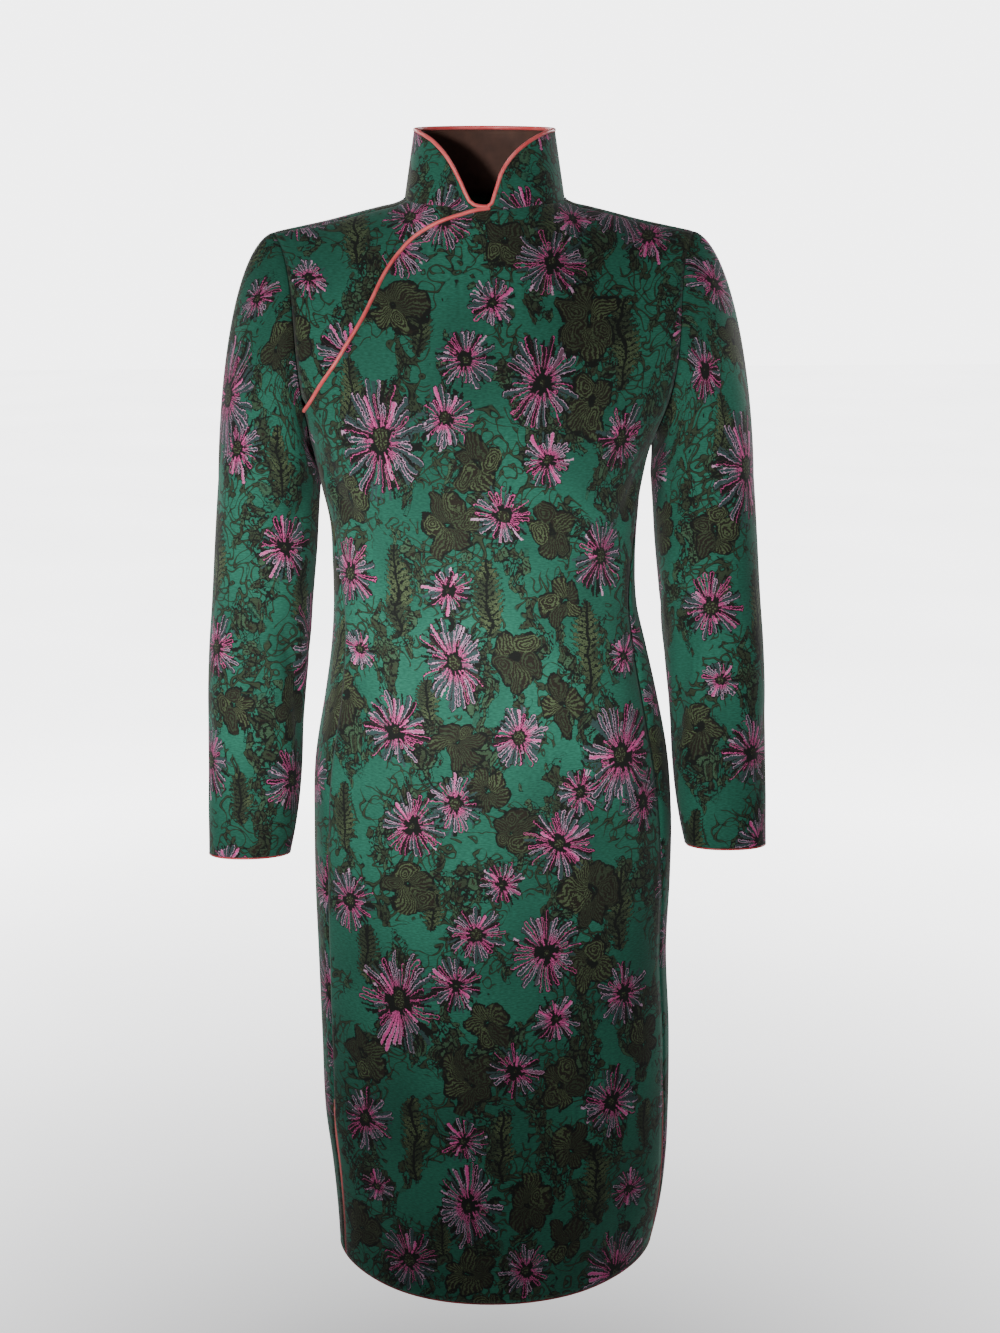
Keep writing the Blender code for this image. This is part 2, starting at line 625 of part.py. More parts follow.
def collar_points():
    """The collar: from the neck seam up to a smaller oval, cut away at the front by the edge tables."""
    base = neck_line()
    around = np.arctan2(base[:, 0] / NECK_HALF_WIDTH, -base[:, 1] / NECK_FRONT)
    turn = np.degrees(np.abs(around))
    right = look_up(COLLAR_EDGE_RIGHT, 1, turn)
    left = look_up(COLLAR_EDGE_LEFT, 1, turn)
    share = np.where(np.arange(len(base)) < len(base) // 2, right, left)
    depth = np.where(np.cos(around) > 0, COLLAR_TOP_FRONT, COLLAR_TOP_BACK)
    rim = np.stack(
        [
            COLLAR_TOP_HALF_WIDTH * np.sin(around),
            -depth * np.cos(around),
            COLLAR_TOP_Z + COLLAR_BACK_RISE * (1 - np.cos(around)) / 2,
        ],
        axis=-1,
    )
    climb = share * np.array(COLLAR_ROWS)[:, None]
    points = base + (rim - base) * climb[..., None]
    points[0] = towards(points[0], points[1], np.full(len(base), SEAM_GAP / 2))
    return points


def beside(edge, normals, reach, sink, closed=False):
    """A path beside an edge: moved out from the cloth by reach, square to each stretch and mitred at its
    corners, and into the cloth's thickness by sink. The edge runs with the cloth on its left hand."""
    if closed:
        edge = np.concatenate([edge[-1:], edge, edge[:1]])
        normals = np.concatenate([normals[-1:], normals, normals[:1]])
    run = np.diff(edge, axis=0)
    out = np.cross(run, normals[1:] + normals[:-1])
    out = out / np.linalg.norm(out, axis=1, keepdims=True)
    before = np.concatenate([out[:1], out])
    after = np.concatenate([out, out[-1:]])
    mitre = (before + after) / (1 + (before * after).sum(axis=1, keepdims=True))
    path = edge + mitre * reach - normals * sink
    return path[1:-1] if closed else path


def add_material(piece, colour, rough):
    """A plain material of one colour, named for its piece and the colour."""
    material = bpy.data.materials.new(piece + "-" + colour)
    material.use_nodes = True
    shader = material.node_tree.nodes["Principled BSDF"]
    shader.inputs["Base Color"].default_value = COLOURS[colour]
    shader.inputs["Roughness"].default_value = rough
    material.diffuse_color = COLOURS[colour]
    return material


def add_wall(name, points, faces, wall, colour):
    """A cloth piece: its outer face as a mesh, made a wall inwards by Solidify."""
    points = points.reshape(-1, 3)
    used = np.unique(np.concatenate([np.array(face) for face in faces]))
    place = np.full(len(points), -1)
    place[used] = np.arange(len(used))
    mesh = bpy.data.meshes.new(name)
    mesh.from_pydata(points[used].tolist(), [], [[int(place[corner]) for corner in face] for face in faces])
    mesh.materials.append(add_material(name, colour, 0.85))
    mesh.shade_smooth()
    piece = bpy.data.objects.new(name, mesh)
    garment.objects.link(piece)
    solid = piece.modifiers.new("Wall", "SOLIDIFY")
    solid.thickness = wall
    solid.offset = -1
    return piece


def add_piping(name, path, radius, closed=False, taper=1.0):
    """A round satin cord along a path; taper is the share of its thickness at the first point."""
    curve = bpy.data.curves.new(name, "CURVE")
    curve.dimensions = "3D"
    curve.bevel_depth = radius
    curve.bevel_resolution = 2
    curve.use_fill_caps = True
    spline = curve.splines.new("POLY")
    spline.points.add(len(path) - 1)
    spline.points.foreach_set("co", np.column_stack([path, np.ones(len(path))]).ravel())
    spline.use_cyclic_u = closed
    if taper < 1:
        spline.points[0].radius = taper
        spline.points[1].radius = (1 + taper) / 2
    curve.materials.append(add_material(name, "satin", 0.35))
    piece = bpy.data.objects.new(name, curve)
    garment.objects.link(piece)
    return piece


def panel_rim(points, normals, from_row):
    """The hem and both slit edges of a panel, from the slit at its first column to that at its last."""
    sides = [
        (points[from_row:, 0], normals[from_row:, 0]),
        (points[-1, 1:-1], normals[-1, 1:-1]),
        (points[from_row:, -1][::-1], normals[from_row:, -1][::-1]),
    ]
    return np.concatenate([side[0] for side in sides]), np.concatenate([side[1] for side in sides])


for leftover in list(bpy.data.objects):
    bpy.data.objects.remove(leftover)

garment = bpy.data.collections.new("cheongsam_dress")
bpy.context.scene.collection.children.link(garment)

cap_count = len(CAP_ROWS) - 1
right_count = len(PLACKET_COLUMNS) - 1
slit_row = cap_count + LOW_ROWS.index(SLIT_Z)

front = trim_sides(front_points())
top = front[0, right_count:]
front[0, right_count:] = towards(top, front[1, right_count:], np.full(len(top), SEAM_GAP / 2))
add_wall("front_panel", front, front_faces(front), WALL, "cloth")

back = trim_sides(back_points())
back[0] = towards(back[0], back[1], np.full(back.shape[1], SEAM_GAP / 2))
add_wall("back_panel", back, grid_faces(*back.shape[:2]), WALL, "cloth")

lap = lap_points()
lap[0] = towards(lap[0], lap[1], np.full(lap.shape[1], SEAM_GAP / 2))
lap[:, 0] = towards(lap[:, 0], lap[:, 1], np.full(len(lap), SEAM_GAP / 2))
add_wall("under_lap", lap, grid_faces(*lap.shape[:2]), WALL, "cloth")

for name, side in (("right", -1), ("left", 1)):
    sleeve = sleeve_points(side)
    add_wall("sleeve_" + name, sleeve, grid_faces(*sleeve.shape[:2], wrap=True), WALL, "cloth")
    around = np.concatenate([sleeve[:, -1:], sleeve, sleeve[:, :1]], axis=1)
    normals = grid_normals(around)[-1, 1:-1]
    cuff = beside(sleeve[-1], normals, THIN_PIPING + PIPING_GAP, WALL / 2, closed=True)
    add_piping("cuff_piping_" + name, cuff, THIN_PIPING, closed=True)

collar = collar_points()
add_wall("collar", collar, grid_faces(*collar.shape[:2]), COLLAR_WALL, "collar_cloth")
rim = beside(collar[-1], grid_normals(collar)[-1], BROAD_PIPING + PIPING_GAP, COLLAR_WALL / 2)
add_piping("collar_piping", rim, BROAD_PIPING)

path = beside(*placket_edge(), BROAD_PIPING + PIPING_GAP, -0.0002)
add_piping("placket_piping", path[1:-2], BROAD_PIPING, taper=0.5)

for name, panel in (("front", front), ("back", back)):
    edge, normals = panel_rim(panel, grid_normals(panel), slit_row)
    path = beside(edge, normals, THIN_PIPING + PIPING_GAP, WALL / 2)
    add_piping("hem_piping_" + name, path, THIN_PIPING)
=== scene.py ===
"""Cheongsam dress in flowered jacquard: shaped cloth, satin piping, floor, lights and camera.

Sizes are in metres. The wearer faces -Y and the wearer's left is +X. The origin lies between the two
points where the shoulders meet the neck. The panels, sleeves and collar follow the sections, seams and
edges of the solids that they replace to within a few millimetres, with more rows, columns and folds. The
side slits open about 22 mm higher than the solids' do.
"""

import math

import bpy
import numpy as np
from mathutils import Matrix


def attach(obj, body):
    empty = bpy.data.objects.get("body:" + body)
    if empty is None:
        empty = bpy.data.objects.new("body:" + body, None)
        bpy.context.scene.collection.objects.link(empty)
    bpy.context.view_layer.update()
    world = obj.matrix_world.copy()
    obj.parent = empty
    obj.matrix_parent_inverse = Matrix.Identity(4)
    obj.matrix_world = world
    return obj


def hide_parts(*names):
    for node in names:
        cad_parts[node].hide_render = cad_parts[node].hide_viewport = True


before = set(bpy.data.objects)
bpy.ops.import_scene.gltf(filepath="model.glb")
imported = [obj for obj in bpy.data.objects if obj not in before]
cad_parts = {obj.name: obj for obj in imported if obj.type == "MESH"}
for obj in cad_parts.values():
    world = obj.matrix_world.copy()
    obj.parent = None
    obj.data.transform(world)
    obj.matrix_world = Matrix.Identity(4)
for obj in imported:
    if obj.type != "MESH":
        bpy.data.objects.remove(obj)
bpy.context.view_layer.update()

# ---------------------------------------------------------------- sizes

# Cloth, seams and piping.
WALL = 0.0016
COLLAR_WALL = 0.0020
LAP_DIP = 0.0032
SEAM_DIP = 0.0005
SEAM_REACH = 0.0022
BROAD_PIPING = 0.0018
THIN_PIPING = 0.0010

# Levels, measured from the side neck points.
PIT_Z = -0.213
CAP_Z = -0.200
SLIT_TOP_Z = -0.862
SLIT_PIPING_Z = -0.855
HEM_Z = -1.036
HEM_SIDE_RISE = 0.016
# The armpit's level as a drop, in degrees: see panel_place.
PIT_DROP = 90.0 + 90.0 * (CAP_Z - PIT_Z)

# Neck opening and shoulder seams.
NECK_HALF_WIDTH = 0.0720
NECK_FRONT = 0.0600
NECK_BACK = 0.0570
SHOULDER_SEAM_Y = -0.014
SHOULDER_SEAM_EASE = 0.75
SHOULDER_POINT_X = 0.1895
CORNER_X = NECK_HALF_WIDTH * math.sqrt(1 - (SHOULDER_SEAM_Y / NECK_FRONT) ** 2)

# Body sections: height, half width, front depth, back depth, centre across, squareness of the oval.
HALF_WIDTH, FRONT_DEPTH, BACK_DEPTH, CENTRE, SQUARENESS = range(1, 6)
BODY_SECTIONS = (
    (0.030, 0.2000, 0.0980, 0.0880, 0.0000, 2.35),
    (-0.060, 0.2000, 0.1050, 0.0950, 0.0000, 2.35),
    (-0.120, 0.1960, 0.1150, 0.1030, 0.0000, 2.35),
    (-0.170, 0.1800, 0.1230, 0.1050, -0.0010, 2.35),
    (-0.213, 0.1580, 0.1260, 0.1020, -0.0030, 2.35),
    (-0.255, 0.1480, 0.1200, 0.0970, -0.0036, 2.30),
    (-0.290, 0.1425, 0.1120, 0.0930, -0.0015, 2.25),
    (-0.330, 0.1410, 0.1030, 0.0900, -0.0012, 2.20),
    (-0.370, 0.1420, 0.0980, 0.0900, 0.0000, 2.20),
    (-0.410, 0.1480, 0.0980, 0.0940, 0.0032, 2.20),
    (-0.450, 0.1556, 0.1010, 0.1010, 0.0050, 2.20),
    (-0.520, 0.1680, 0.1070, 0.1130, 0.0060, 2.20),
    (-0.580, 0.1713, 0.1100, 0.1190, 0.0072, 2.20),
    (-0.640, 0.1713, 0.1110, 0.1200, 0.0070, 2.20),
    (-0.710, 0.1693, 0.1110, 0.1180, 0.0066, 2.20),
    (-0.800, 0.1705, 0.1120, 0.1160, 0.0098, 2.15),
    (-0.880, 0.1697, 0.1130, 0.1150, 0.0112, 2.10),
    (-0.930, 0.1663, 0.1130, 0.1150, 0.0134, 2.06),
    (-0.980, 0.1618, 0.1120, 0.1140, 0.0130, 2.02),
    (-1.040, 0.1540, 0.1100, 0.1110, 0.0080, 2.00),
)

# Shoulder line: distance across, height of the front's top, height of the back's top.
SHOULDER_LINE = (
    (-0.020, 0.0370, 0.0610),
    (0.000, 0.0400, 0.0650),
    (0.020, 0.0370, 0.0610),
    (0.040, 0.0275, 0.0470),
    (0.055, 0.0150, 0.0270),
    (0.065, 0.0060, 0.0110),
    (0.072, 0.0010, 0.0010),
    (0.080, -0.0028, -0.0028),
    (0.092, -0.0056, -0.0056),
    (0.115, -0.0113, -0.0113),
    (0.140, -0.0178, -0.0178),
    (0.165, -0.0232, -0.0232),
    (0.190, -0.0285, -0.0285),
    (0.215, -0.0340, -0.0340),
)

# Armhole seam: height, distance across.
ARMHOLE = (
    (-0.213, 0.1580),
    (-0.200, 0.1592),
    (-0.185, 0.1622),
    (-0.165, 0.1662),
    (-0.140, 0.1697),
    (-0.110, 0.1722),
    (-0.080, 0.1745),
    (-0.055, 0.1785),
    (-0.040, 0.1830),
    (-0.031, 0.1880),
    (-0.020, 0.1930),
)

# Side seams: height, angle round from the centre front in degrees.
SIDE_SEAM = (
    (-0.213, 90.0),
    (-0.235, 87.0),
    (-0.260, 83.0),
    (-0.300, 76.0),
    (-0.350, 69.0),
    (-0.450, 64.0),
    (-0.600, 66.0),
    (-0.750, 68.5),
    (-0.880, 70.0),
    (-0.950, 72.0),
    (-1.040, 75.0),
)

# Placket edge on the wearer's right: distance across, height.
PLACKET = (
    (0.0000, -0.0082),
    (-0.0120, -0.0092),
    (-0.0200, -0.0118),
    (-0.0320, -0.0152),
    (-0.0450, -0.0202),
    (-0.0580, -0.0274),
    (-0.0680, -0.0350),
    (-0.0765, -0.0440),
    (-0.0850, -0.0545),
    (-0.0920, -0.0655),
    (-0.0990, -0.0790),
    (-0.1090, -0.0980),
    (-0.1220, -0.1190),
    (-0.1350, -0.1400),
    (-0.1470, -0.1580),
    (-0.1560, -0.1740),
    (-0.1622, -0.1850),
)
# The line follows the table for this share of the half width, and its end lies this share of the way from the
# shoulder seam to the armpit.
PLACKET_COLUMN_END = 0.93
PLACKET_END_SHARE = 0.93
PLACKET_SAMPLES = 400

# Under lap, in degrees of drop: how far it reaches below the placket's edge, the least it hangs below its
# own top edge, the rows beside the placket, and where and how soon it sinks under the front.
LAP_REACH = 8.0
LAP_LEAST = 3.0
LAP_NEAR = 4.4
LAP_SINK_START = 4.8
LAP_SINK_RUN = 2.4

# How far sideways of its place on the neck's edge each column of the back runs, by the edge's depth.
BACK_CORNER_SHIFT = ((-0.0140, 0.00847), (0.0, 0.0020), (0.0160, 0.0010), (0.0315, 0.0), (0.0570, 0.0))

# Share of the way from the top edge to the armpit, at even steps down the armhole.
CAP_STEPS = (0.0, 0.035, 0.12, 0.21, 0.30, 0.39, 0.49, 0.59, 0.69, 0.79, 0.87, 0.93, 0.97, 0.992, 1.0)
CAP_FINE = 4
LOW_ROW_STEP = 0.0042

# Side slits: height, degrees by which each edge stands back from the seam line.
SLIT_OPENING = (
    (-1.040, 1.0),
    (-0.985, 0.9),
    (-0.930, 0.9),
    (-0.882, 0.8),
    (-0.870, 0.4),
    (-0.858, 0.0),
    (-0.840, 0.0),
)

# Sleeve sections below the armpit: height, centre across, centre forward, half width, half depth and the
# rise of the ring towards its front.
SLEEVE_SECTIONS = (
    (-0.250, 0.2000, 0.0010, 0.0475, 0.0610, 0.000),
    (-0.280, 0.2025, 0.0005, 0.0476, 0.0595, 0.000),
    (-0.310, 0.2047, 0.0000, 0.0478, 0.0580, 0.000),
    (-0.366, 0.2095, -0.0020, 0.0472, 0.0550, 0.000),
    (-0.405, 0.2128, -0.0040, 0.0474, 0.0530, 0.010),
    (-0.443, 0.2160, -0.0070, 0.0463, 0.0505, 0.030),
    (-0.482, 0.2182, -0.0110, 0.0450, 0.0480, 0.050),
    (-0.521, 0.2194, -0.0160, 0.0442, 0.0455, 0.080),
    (-0.561, 0.2221, -0.0200, 0.0426, 0.0430, 0.110),
    (-0.585, 0.2242, -0.0230, 0.0406, 0.0405, 0.125),
    (-0.602, 0.2262, -0.0255, 0.0388, 0.0385, 0.140),
)
CUFF_Z = -0.602
SLEEVE_SQUARENESS = 2.15
SLEEVE_SHIFT = 0.002
SLEEVE_SEAM_TURN = 8.0
SLEEVE_TOP_START = (0.112, 0.0, -0.034)
SLEEVE_PIT_START = (0.003, 0.0, -0.016)
SLEEVE_TOP_END = (0.008, 0.0, -0.250)
SLEEVE_PIT_END = (-0.002, 0.0, -0.030)
SLEEVE_HEAD_BULGE = 0.030
SLEEVE_HEAD_ROWS = 46

# Collar: half width, front and back depth and height of the top edge, and its cut-away front edges:
# angle round from the centre front in degrees, share of the full height.
COLLAR_TOP_HALF_WIDTH = 0.0632
COLLAR_TOP_FRONT = 0.0560
COLLAR_TOP_BACK = 0.0500
COLLAR_TOP_Z = 0.0570
COLLAR_BACK_RISE = 0.004
COLLAR_ROWS = 15
COLLAR_SEAM_DEPTH = 0.045
COLLAR_EDGE_RIGHT = (
    (4.0, 0.020),
    (11.0, 0.040),
    (15.0, 0.10),
    (21.0, 0.31),
    (30.0, 0.57),
    (44.0, 0.81),
    (66.0, 0.96),
    (84.0, 1.00),
    (100.0, 1.00),
)
COLLAR_EDGE_LEFT = (
    (1.5, 0.020),
    (4.7, 0.11),
    (6.8, 0.24),
    (10.5, 0.44),
    (14.8, 0.57),
    (21.0, 0.69),
    (34.5, 0.85),
    (52.0, 0.96),
    (84.0, 1.00),
    (100.0, 1.00),
)

# Folds on the body: angle and height of each end, width and depth. A minus depth is a ridge. The first ten
# are those of the solids, and the rest are the smaller creases between them.
BODY_FOLD_RADIUS = 0.15
BODY_FOLDS = (
    (-66.0, -0.225, -40.0, -0.330, 0.018, 0.0035),
    (70.0, -0.222, 48.0, -0.320, 0.017, 0.0032),
    (62.0, -0.395, 60.0, -0.620, 0.020, 0.0035),
    (-58.0, -0.400, -30.0, -0.370, 0.020, 0.0022),
    (52.0, -0.410, 22.0, -0.385, 0.020, 0.0020),
    (-20.0, -0.640, -8.0, -0.860, 0.035, -0.0025),
    (34.0, -0.620, 26.0, -0.900, 0.035, 0.0030),
    (150.0, -0.360, 120.0, -0.400, 0.022, 0.0030),
    (-150.0, -0.350, -118.0, -0.390, 0.022, 0.0030),
    (172.0, -0.560, 165.0, -0.860, 0.040, 0.0030),
    (-74.0, -0.222, -58.0, -0.275, 0.008, 0.0016),
    (76.0, -0.224, 62.0, -0.270, 0.008, 0.0016),
    (66.0, -0.300, 40.0, -0.345, 0.012, 0.0014),
    (-60.0, -0.440, -42.0, -0.425, 0.010, 0.0012),
    (56.0, -0.455, 38.0, -0.440, 0.010, 0.0013),
    (48.0, -0.900, 40.0, -1.020, 0.024, 0.0022),
    (-44.0, -0.820, -52.0, -1.010, 0.026, 0.0020),
    (6.0, -0.900, 2.0, -1.030, 0.030, -0.0018),
    (160.0, -0.400, 136.0, -0.425, 0.012, 0.0018),
    (-164.0, -0.385, -140.0, -0.415, 0.012, 0.0016),
    (-104.0, -0.235, -128.0, -0.300, 0.012, 0.0020),
    (104.0, -0.235, 130.0, -0.310, 0.012, 0.0020),
    (-140.0, -0.600, -150.0, -0.800, 0.030, 0.0024),
    (136.0, -0.640, 146.0, -0.850, 0.030, 0.0022),
    (-112.0, -0.700, -116.0, -0.980, 0.028, 0.0024),
    (110.0, -0.720, 118.0, -0.990, 0.028, 0.0022),
)

# Folds on a sleeve: angle round (0 outer, 90 front, 180 inner) and height of each end, width, depth. The
# first six are those of the solids.
SLEEVE_FOLD_RADIUS = 0.05
SLEEVE_FOLDS = (
    (120.0, -0.385, 165.0, -0.500, 0.012, 0.0040),
    (60.0, -0.400, 105.0, -0.440, 0.014, 0.0025),
    (250.0, -0.390, 205.0, -0.430, 0.014, 0.0030),
    (150.0, -0.235, 110.0, -0.300, 0.012, 0.0030),
    (215.0, -0.235, 250.0, -0.300, 0.012, 0.0030),
    (100.0, -0.520, 60.0, -0.560, 0.014, 0.0018),
    (140.0, -0.360, 178.0, -0.415, 0.007, 0.0016),
    (80.0, -0.452, 130.0, -0.480, 0.008, 0.0014),
    (225.0, -0.350, 195.0, -0.380, 0.007, 0.0016),
    (240.0, -0.440, 200.0, -0.470, 0.009, 0.0016),
    (20.0, -0.470, 50.0, -0.560, 0.012, 0.0014),
    (290.0, -0.500, 260.0, -0.580, 0.012, 0.0014),
    (172.0, -0.240, 150.0, -0.275, 0.006, 0.0016),
    (116.0, -0.150, 170.0, -0.222, 0.009, 0.0045),
    (244.0, -0.145, 192.0, -0.215, 0.009, 0.0035),
)
# How far from the armhole seam these folds take to reach their full depth.
SLEEVE_FOLD_START = 0.012

# The rows of the sleeve's head lie closer together near the armhole by this power.
SLEEVE_HEAD_SPREAD = 1.1
# How far a body fold also pulls the cloth in from the sides, as a share of its depth.
FOLD_PULL = 0.6

# Columns of half a panel: round the neck, then along the shoulder. The back's neck has three more at its
# corner. Then the columns of the front beside the placket.
FRONT_COLUMNS = (22, 28)
BACK_COLUMNS = (24, 36)
CORNER_COLUMNS = 3
PLACKET_COLUMNS = 51
# Rows and columns of the under lap: above the placket's edge, below it, and past the centre front.
LAP_ROWS = (40, 17)
LAP_EXTRA = 5

# Sides of a cord, and rows that round off each of its ends.
CORD_SIDES = 14
CORD_END_ROWS = 6

SEARCH_ROUNDS = 14
SEARCH_START_Z = -0.05

# ---------------------------------------------------------------- the cloth's repeat

# The repeat's width and height, and for every motif the place of its centre in the repeat.
REPEAT = (0.340, 0.527)
# Spiky blooms: across, up, radius, how much taller than wide, petals.
BLOOMS = (
    (0.055, -0.048, 0.036, 1.00, 31),
    (0.002, -0.084, 0.023, 1.00, 25),
    (-0.022, -0.132, 0.029, 1.00, 28),
    (0.044, -0.152, 0.036, 1.20, 35),
    (-0.096, -0.203, 0.042, 1.40, 37),
    (-0.040, -0.182, 0.026, 1.15, 25),
    (0.052, -0.219, 0.026, 1.00, 28),
    (0.012, -0.268, 0.029, 1.05, 25),
    (0.108, -0.312, 0.034, 1.20, 31),
    (-0.038, -0.338, 0.025, 1.00, 22),
    (-0.036, -0.405, 0.033, 1.45, 35),
    (-0.094, -0.470, 0.034, 1.10, 31),
    (0.020, -0.474, 0.027, 1.15, 28),
    (0.120, -0.500, 0.044, 1.30, 41),
    (0.076, -0.528, 0.022, 1.10, 25),
    (-0.080, -0.030, 0.032, 1.05, 31),
    (-0.040, -0.008, 0.028, 1.15, 28),
    (0.146, -0.020, 0.030, 1.10, 31),
    (0.124, -0.205, 0.031, 1.10, 28),
    (-0.146, -0.110, 0.030, 1.10, 28),
    (-0.138, -0.330, 0.032, 1.10, 31),
    (-0.130, -0.400, 0.020, 1.00, 22),
    (0.130, -0.410, 0.024, 1.00, 25),
)
# Hatched roses: across, up, radius, how much taller than wide, petals round the heart.
ROSES = (
    (0.014, -0.032, 0.024, 0.95, 5),
    (0.086, -0.100, 0.032, 1.20, 6),
    (-0.082, -0.088, 0.030, 0.90, 5),
    (0.088, -0.172, 0.025, 1.30, 4),
    (-0.012, -0.222, 0.023, 1.20, 5),
    (-0.034, -0.276, 0.028, 1.25, 6),
    (0.056, -0.286, 0.025, 1.20, 5),
    (-0.134, -0.262, 0.025, 1.20, 5),
    (0.022, -0.404, 0.024, 1.30, 5),
    (0.060, -0.446, 0.022, 1.50, 4),
    (-0.034, -0.478, 0.028, 1.00, 6),
    (-0.010, -0.520, 0.022, 1.00, 5),
    (0.148, -0.258, 0.022, 1.20, 5),
    (-0.152, -0.450, 0.026, 1.10, 5),
    (0.066, -0.352, 0.022, 1.20, 5),
)
# Leafy sprays: across, up, half width, how much taller than wide, pairs of leaves.
SPRAYS = (
    (-0.086, -0.340, 0.017, 2.60, 7),
    (-0.002, -0.345, 0.015, 2.40, 6),
    (0.118, -0.120, 0.017, 2.40, 7),
    (-0.126, -0.160, 0.015, 2.00, 6),
    (0.090, -0.395, 0.018, 2.40, 7),
    (-0.062, -0.106, 0.013, 1.80, 5),
    (0.060, -0.012, 0.014, 2.00, 6),
    (-0.150, -0.030, 0.015, 2.20, 6),
    (-0.062, -0.440, 0.012, 1.60, 5),
    (0.148, -0.345, 0.013, 2.00, 6),
)
# Cover is 1 at a motif's centre, and 0 at this many radii from it.
MOTIF_REACH = 1.06
MOTIF_GAP = 0.007
# What a motif's number, and its repeat's number across and up, add to its seed. All are whole eighths.
SEED_STEPS = (1.625, 0.375, 0.625)

# Colours, as the share of red, green and blue light that each thread gives back.
TEAL = (0.0190, 0.1450, 0.0920)
DEEP_TEAL = (0.0120, 0.0950, 0.0600)
INK = (0.0050, 0.0065, 0.0050)
SLATE = (0.0300, 0.0640, 0.0620)
HOT_PINK = (0.6600, 0.0900, 0.3000)
LILAC = (0.5600, 0.3200, 0.4700)
OLIVE = (0.0720, 0.1030, 0.0470)
DARK_OLIVE = (0.0310, 0.0460, 0.0240)
MOSS = (0.0420, 0.0930, 0.0480)
BARK = (0.0170, 0.0130, 0.0085)
CORAL = (0.9400, 0.1750, 0.1700)
DEEP_CORAL = (0.8000, 0.0850, 0.0880)
# Coral piping in painted shade: darker reds that stand for the coral cord where little light reaches it, used
# on the cuffs and the hem.
SHADED_CORAL = (0.4200, 0.0300, 0.0340)
DEEP_SHADED_CORAL = (0.2400, 0.0150, 0.0180)
FACING_BROWN = (0.0700, 0.0300, 0.0200)

# A bloom's petals in metres: the least and the greatest half width, the ink outside and the coloured line
# inside the edge, and half the width of a crisp edge.
PETAL_HALF_WIDTHS = (0.0011, 0.0020)
PETAL_INK = 0.0007
PETAL_LINE = 0.0005
CRISP = 0.0001
# In radii: reach of its rays and petals, where its petals begin and how much later some do, and the edges of
# the heart and of the speckled middle of the heart.
RAY_REACH = (0.42, 0.98)
RAYS_A_PETAL = 3.0
PETAL_REACH = (0.42, 1.00)
PETAL_START = (0.14, 0.17)
PETAL_START_SPREAD = 0.20
HEART_EDGE = (0.17, 0.14)
SPECK_EDGE = (0.12, 0.10)
# A petal's width grows from one share to another over these shares of its length. It is never wider than this
# share of the room that it has.
PETAL_TAPER = (0.10, 0.75, 0.22, 1.0)
PETAL_ROOM = 0.38
PETAL_LEAN = 0.20
# A rose: step from one line of the hatching to the next in metres, and its petals' middle and half length.
HATCH_PITCH = 0.0026
HATCH_LINE = (0.34, 0.25)
ROSE_MIDDLE = 0.50
# Foliage: leaves in a metre, how a leaf and a clump are stretched, and how much noise shows a clump.
LEAVES = 165.0
LEAF_STRETCH = (1.25, 0.80, 1.0)
CLUMP_STRETCH = (26.0, 17.0, 1.0)
CLUMP_EDGE = (0.550, 0.555)
# Tendrils: scale and level of the noise, thickness of the line, and where other noise begins to show them.
TENDRILS = ((27.0, 0.50, 0.041, 0.50), (40.0, 0.44, 0.050, 0.44))
TENDRIL_TWIST = 2.2
# Lots within this much above a share blend from one colour to the next.
LOT_STEP = 0.02
# Where the hem's piping leaves its painted shade for its own coral on its way up the slit on the wearer's
# right.
UNSHADED_SATIN_Z = (-1.000, -0.930)
UNSHADED_SATIN_X = (0.0, -0.1)
# Noise by its scale: the weave's jagged edges and how far they reach, the broad and the fine wander of lines,
# and the ground's uneven dye.
JAG_SCALE = 620.0
JAG_REACH = 0.0022
WANDER_SCALE = 34.0
FINE_WANDER_SCALE = 170.0
GROUND_SCALE = 9.0
# Ribs of the weave in a metre, across and up, for the jacquard and for the facing; slanted satin threads.
JACQUARD_RIBS = (900.0, 1050.0)
FACING_RIBS = (1300.0, 1300.0)
SATIN_THREADS = 1400.0

# ---------------------------------------------------------------- surface formulas


def cubic(t, start, start_slope, end, end_slope):
    """The smooth cubic from start to end with the given slopes at its ends, as t runs from 0 to 1."""
    near = (1 + 2 * t) * (1 - t) ** 2 * start + t * (1 - t) ** 2 * start_slope
    return near + t * t * (3 - 2 * t) * end + t * t * (t - 1) * end_slope


def look_up(table, column, at):
    """A column of a table at the given values of its first column, on a smooth cubic through its rows."""
    rows = np.array(table, dtype=float)
    rows = rows[np.argsort(rows[:, 0])]
    key = rows[:, 0]
    value = rows[:, column]
    slope = np.gradient(value, key)
    at = np.clip(np.asarray(at, dtype=float), key[0], key[-1])
    index = np.clip(np.searchsorted(key, at) - 1, 0, len(key) - 2)
    width = key[index + 1] - key[index]
    t = (at - key[index]) / width
    return cubic(t, value[index], width * slope[index], value[index + 1], width * slope[index + 1])


def body(column, height):
    """One measure of the body's sections at a height."""
    return look_up(BODY_SECTIONS, column, height)


def shoulder_top(across, on_back):
    """Height of the shoulder line's top at a distance across, for the back or the front."""
    across = np.abs(across)
    return np.where(on_back, look_up(SHOULDER_LINE, 2, across), look_up(SHOULDER_LINE, 1, across))


def squared(value, power):
    """A sine or cosine bent to a squared oval: its size raised to a power, its sign kept."""
    return np.sign(value) * np.abs(value) ** power


def unit(vectors):
    """Vectors of length 1."""
    return vectors / np.maximum(np.linalg.norm(vectors, axis=-1, keepdims=True), 1e-12)


def run_along(path):
    """How far along a path each of its points lies."""
    return np.concatenate([[0], np.cumsum(np.linalg.norm(np.diff(path, axis=0), axis=1))])


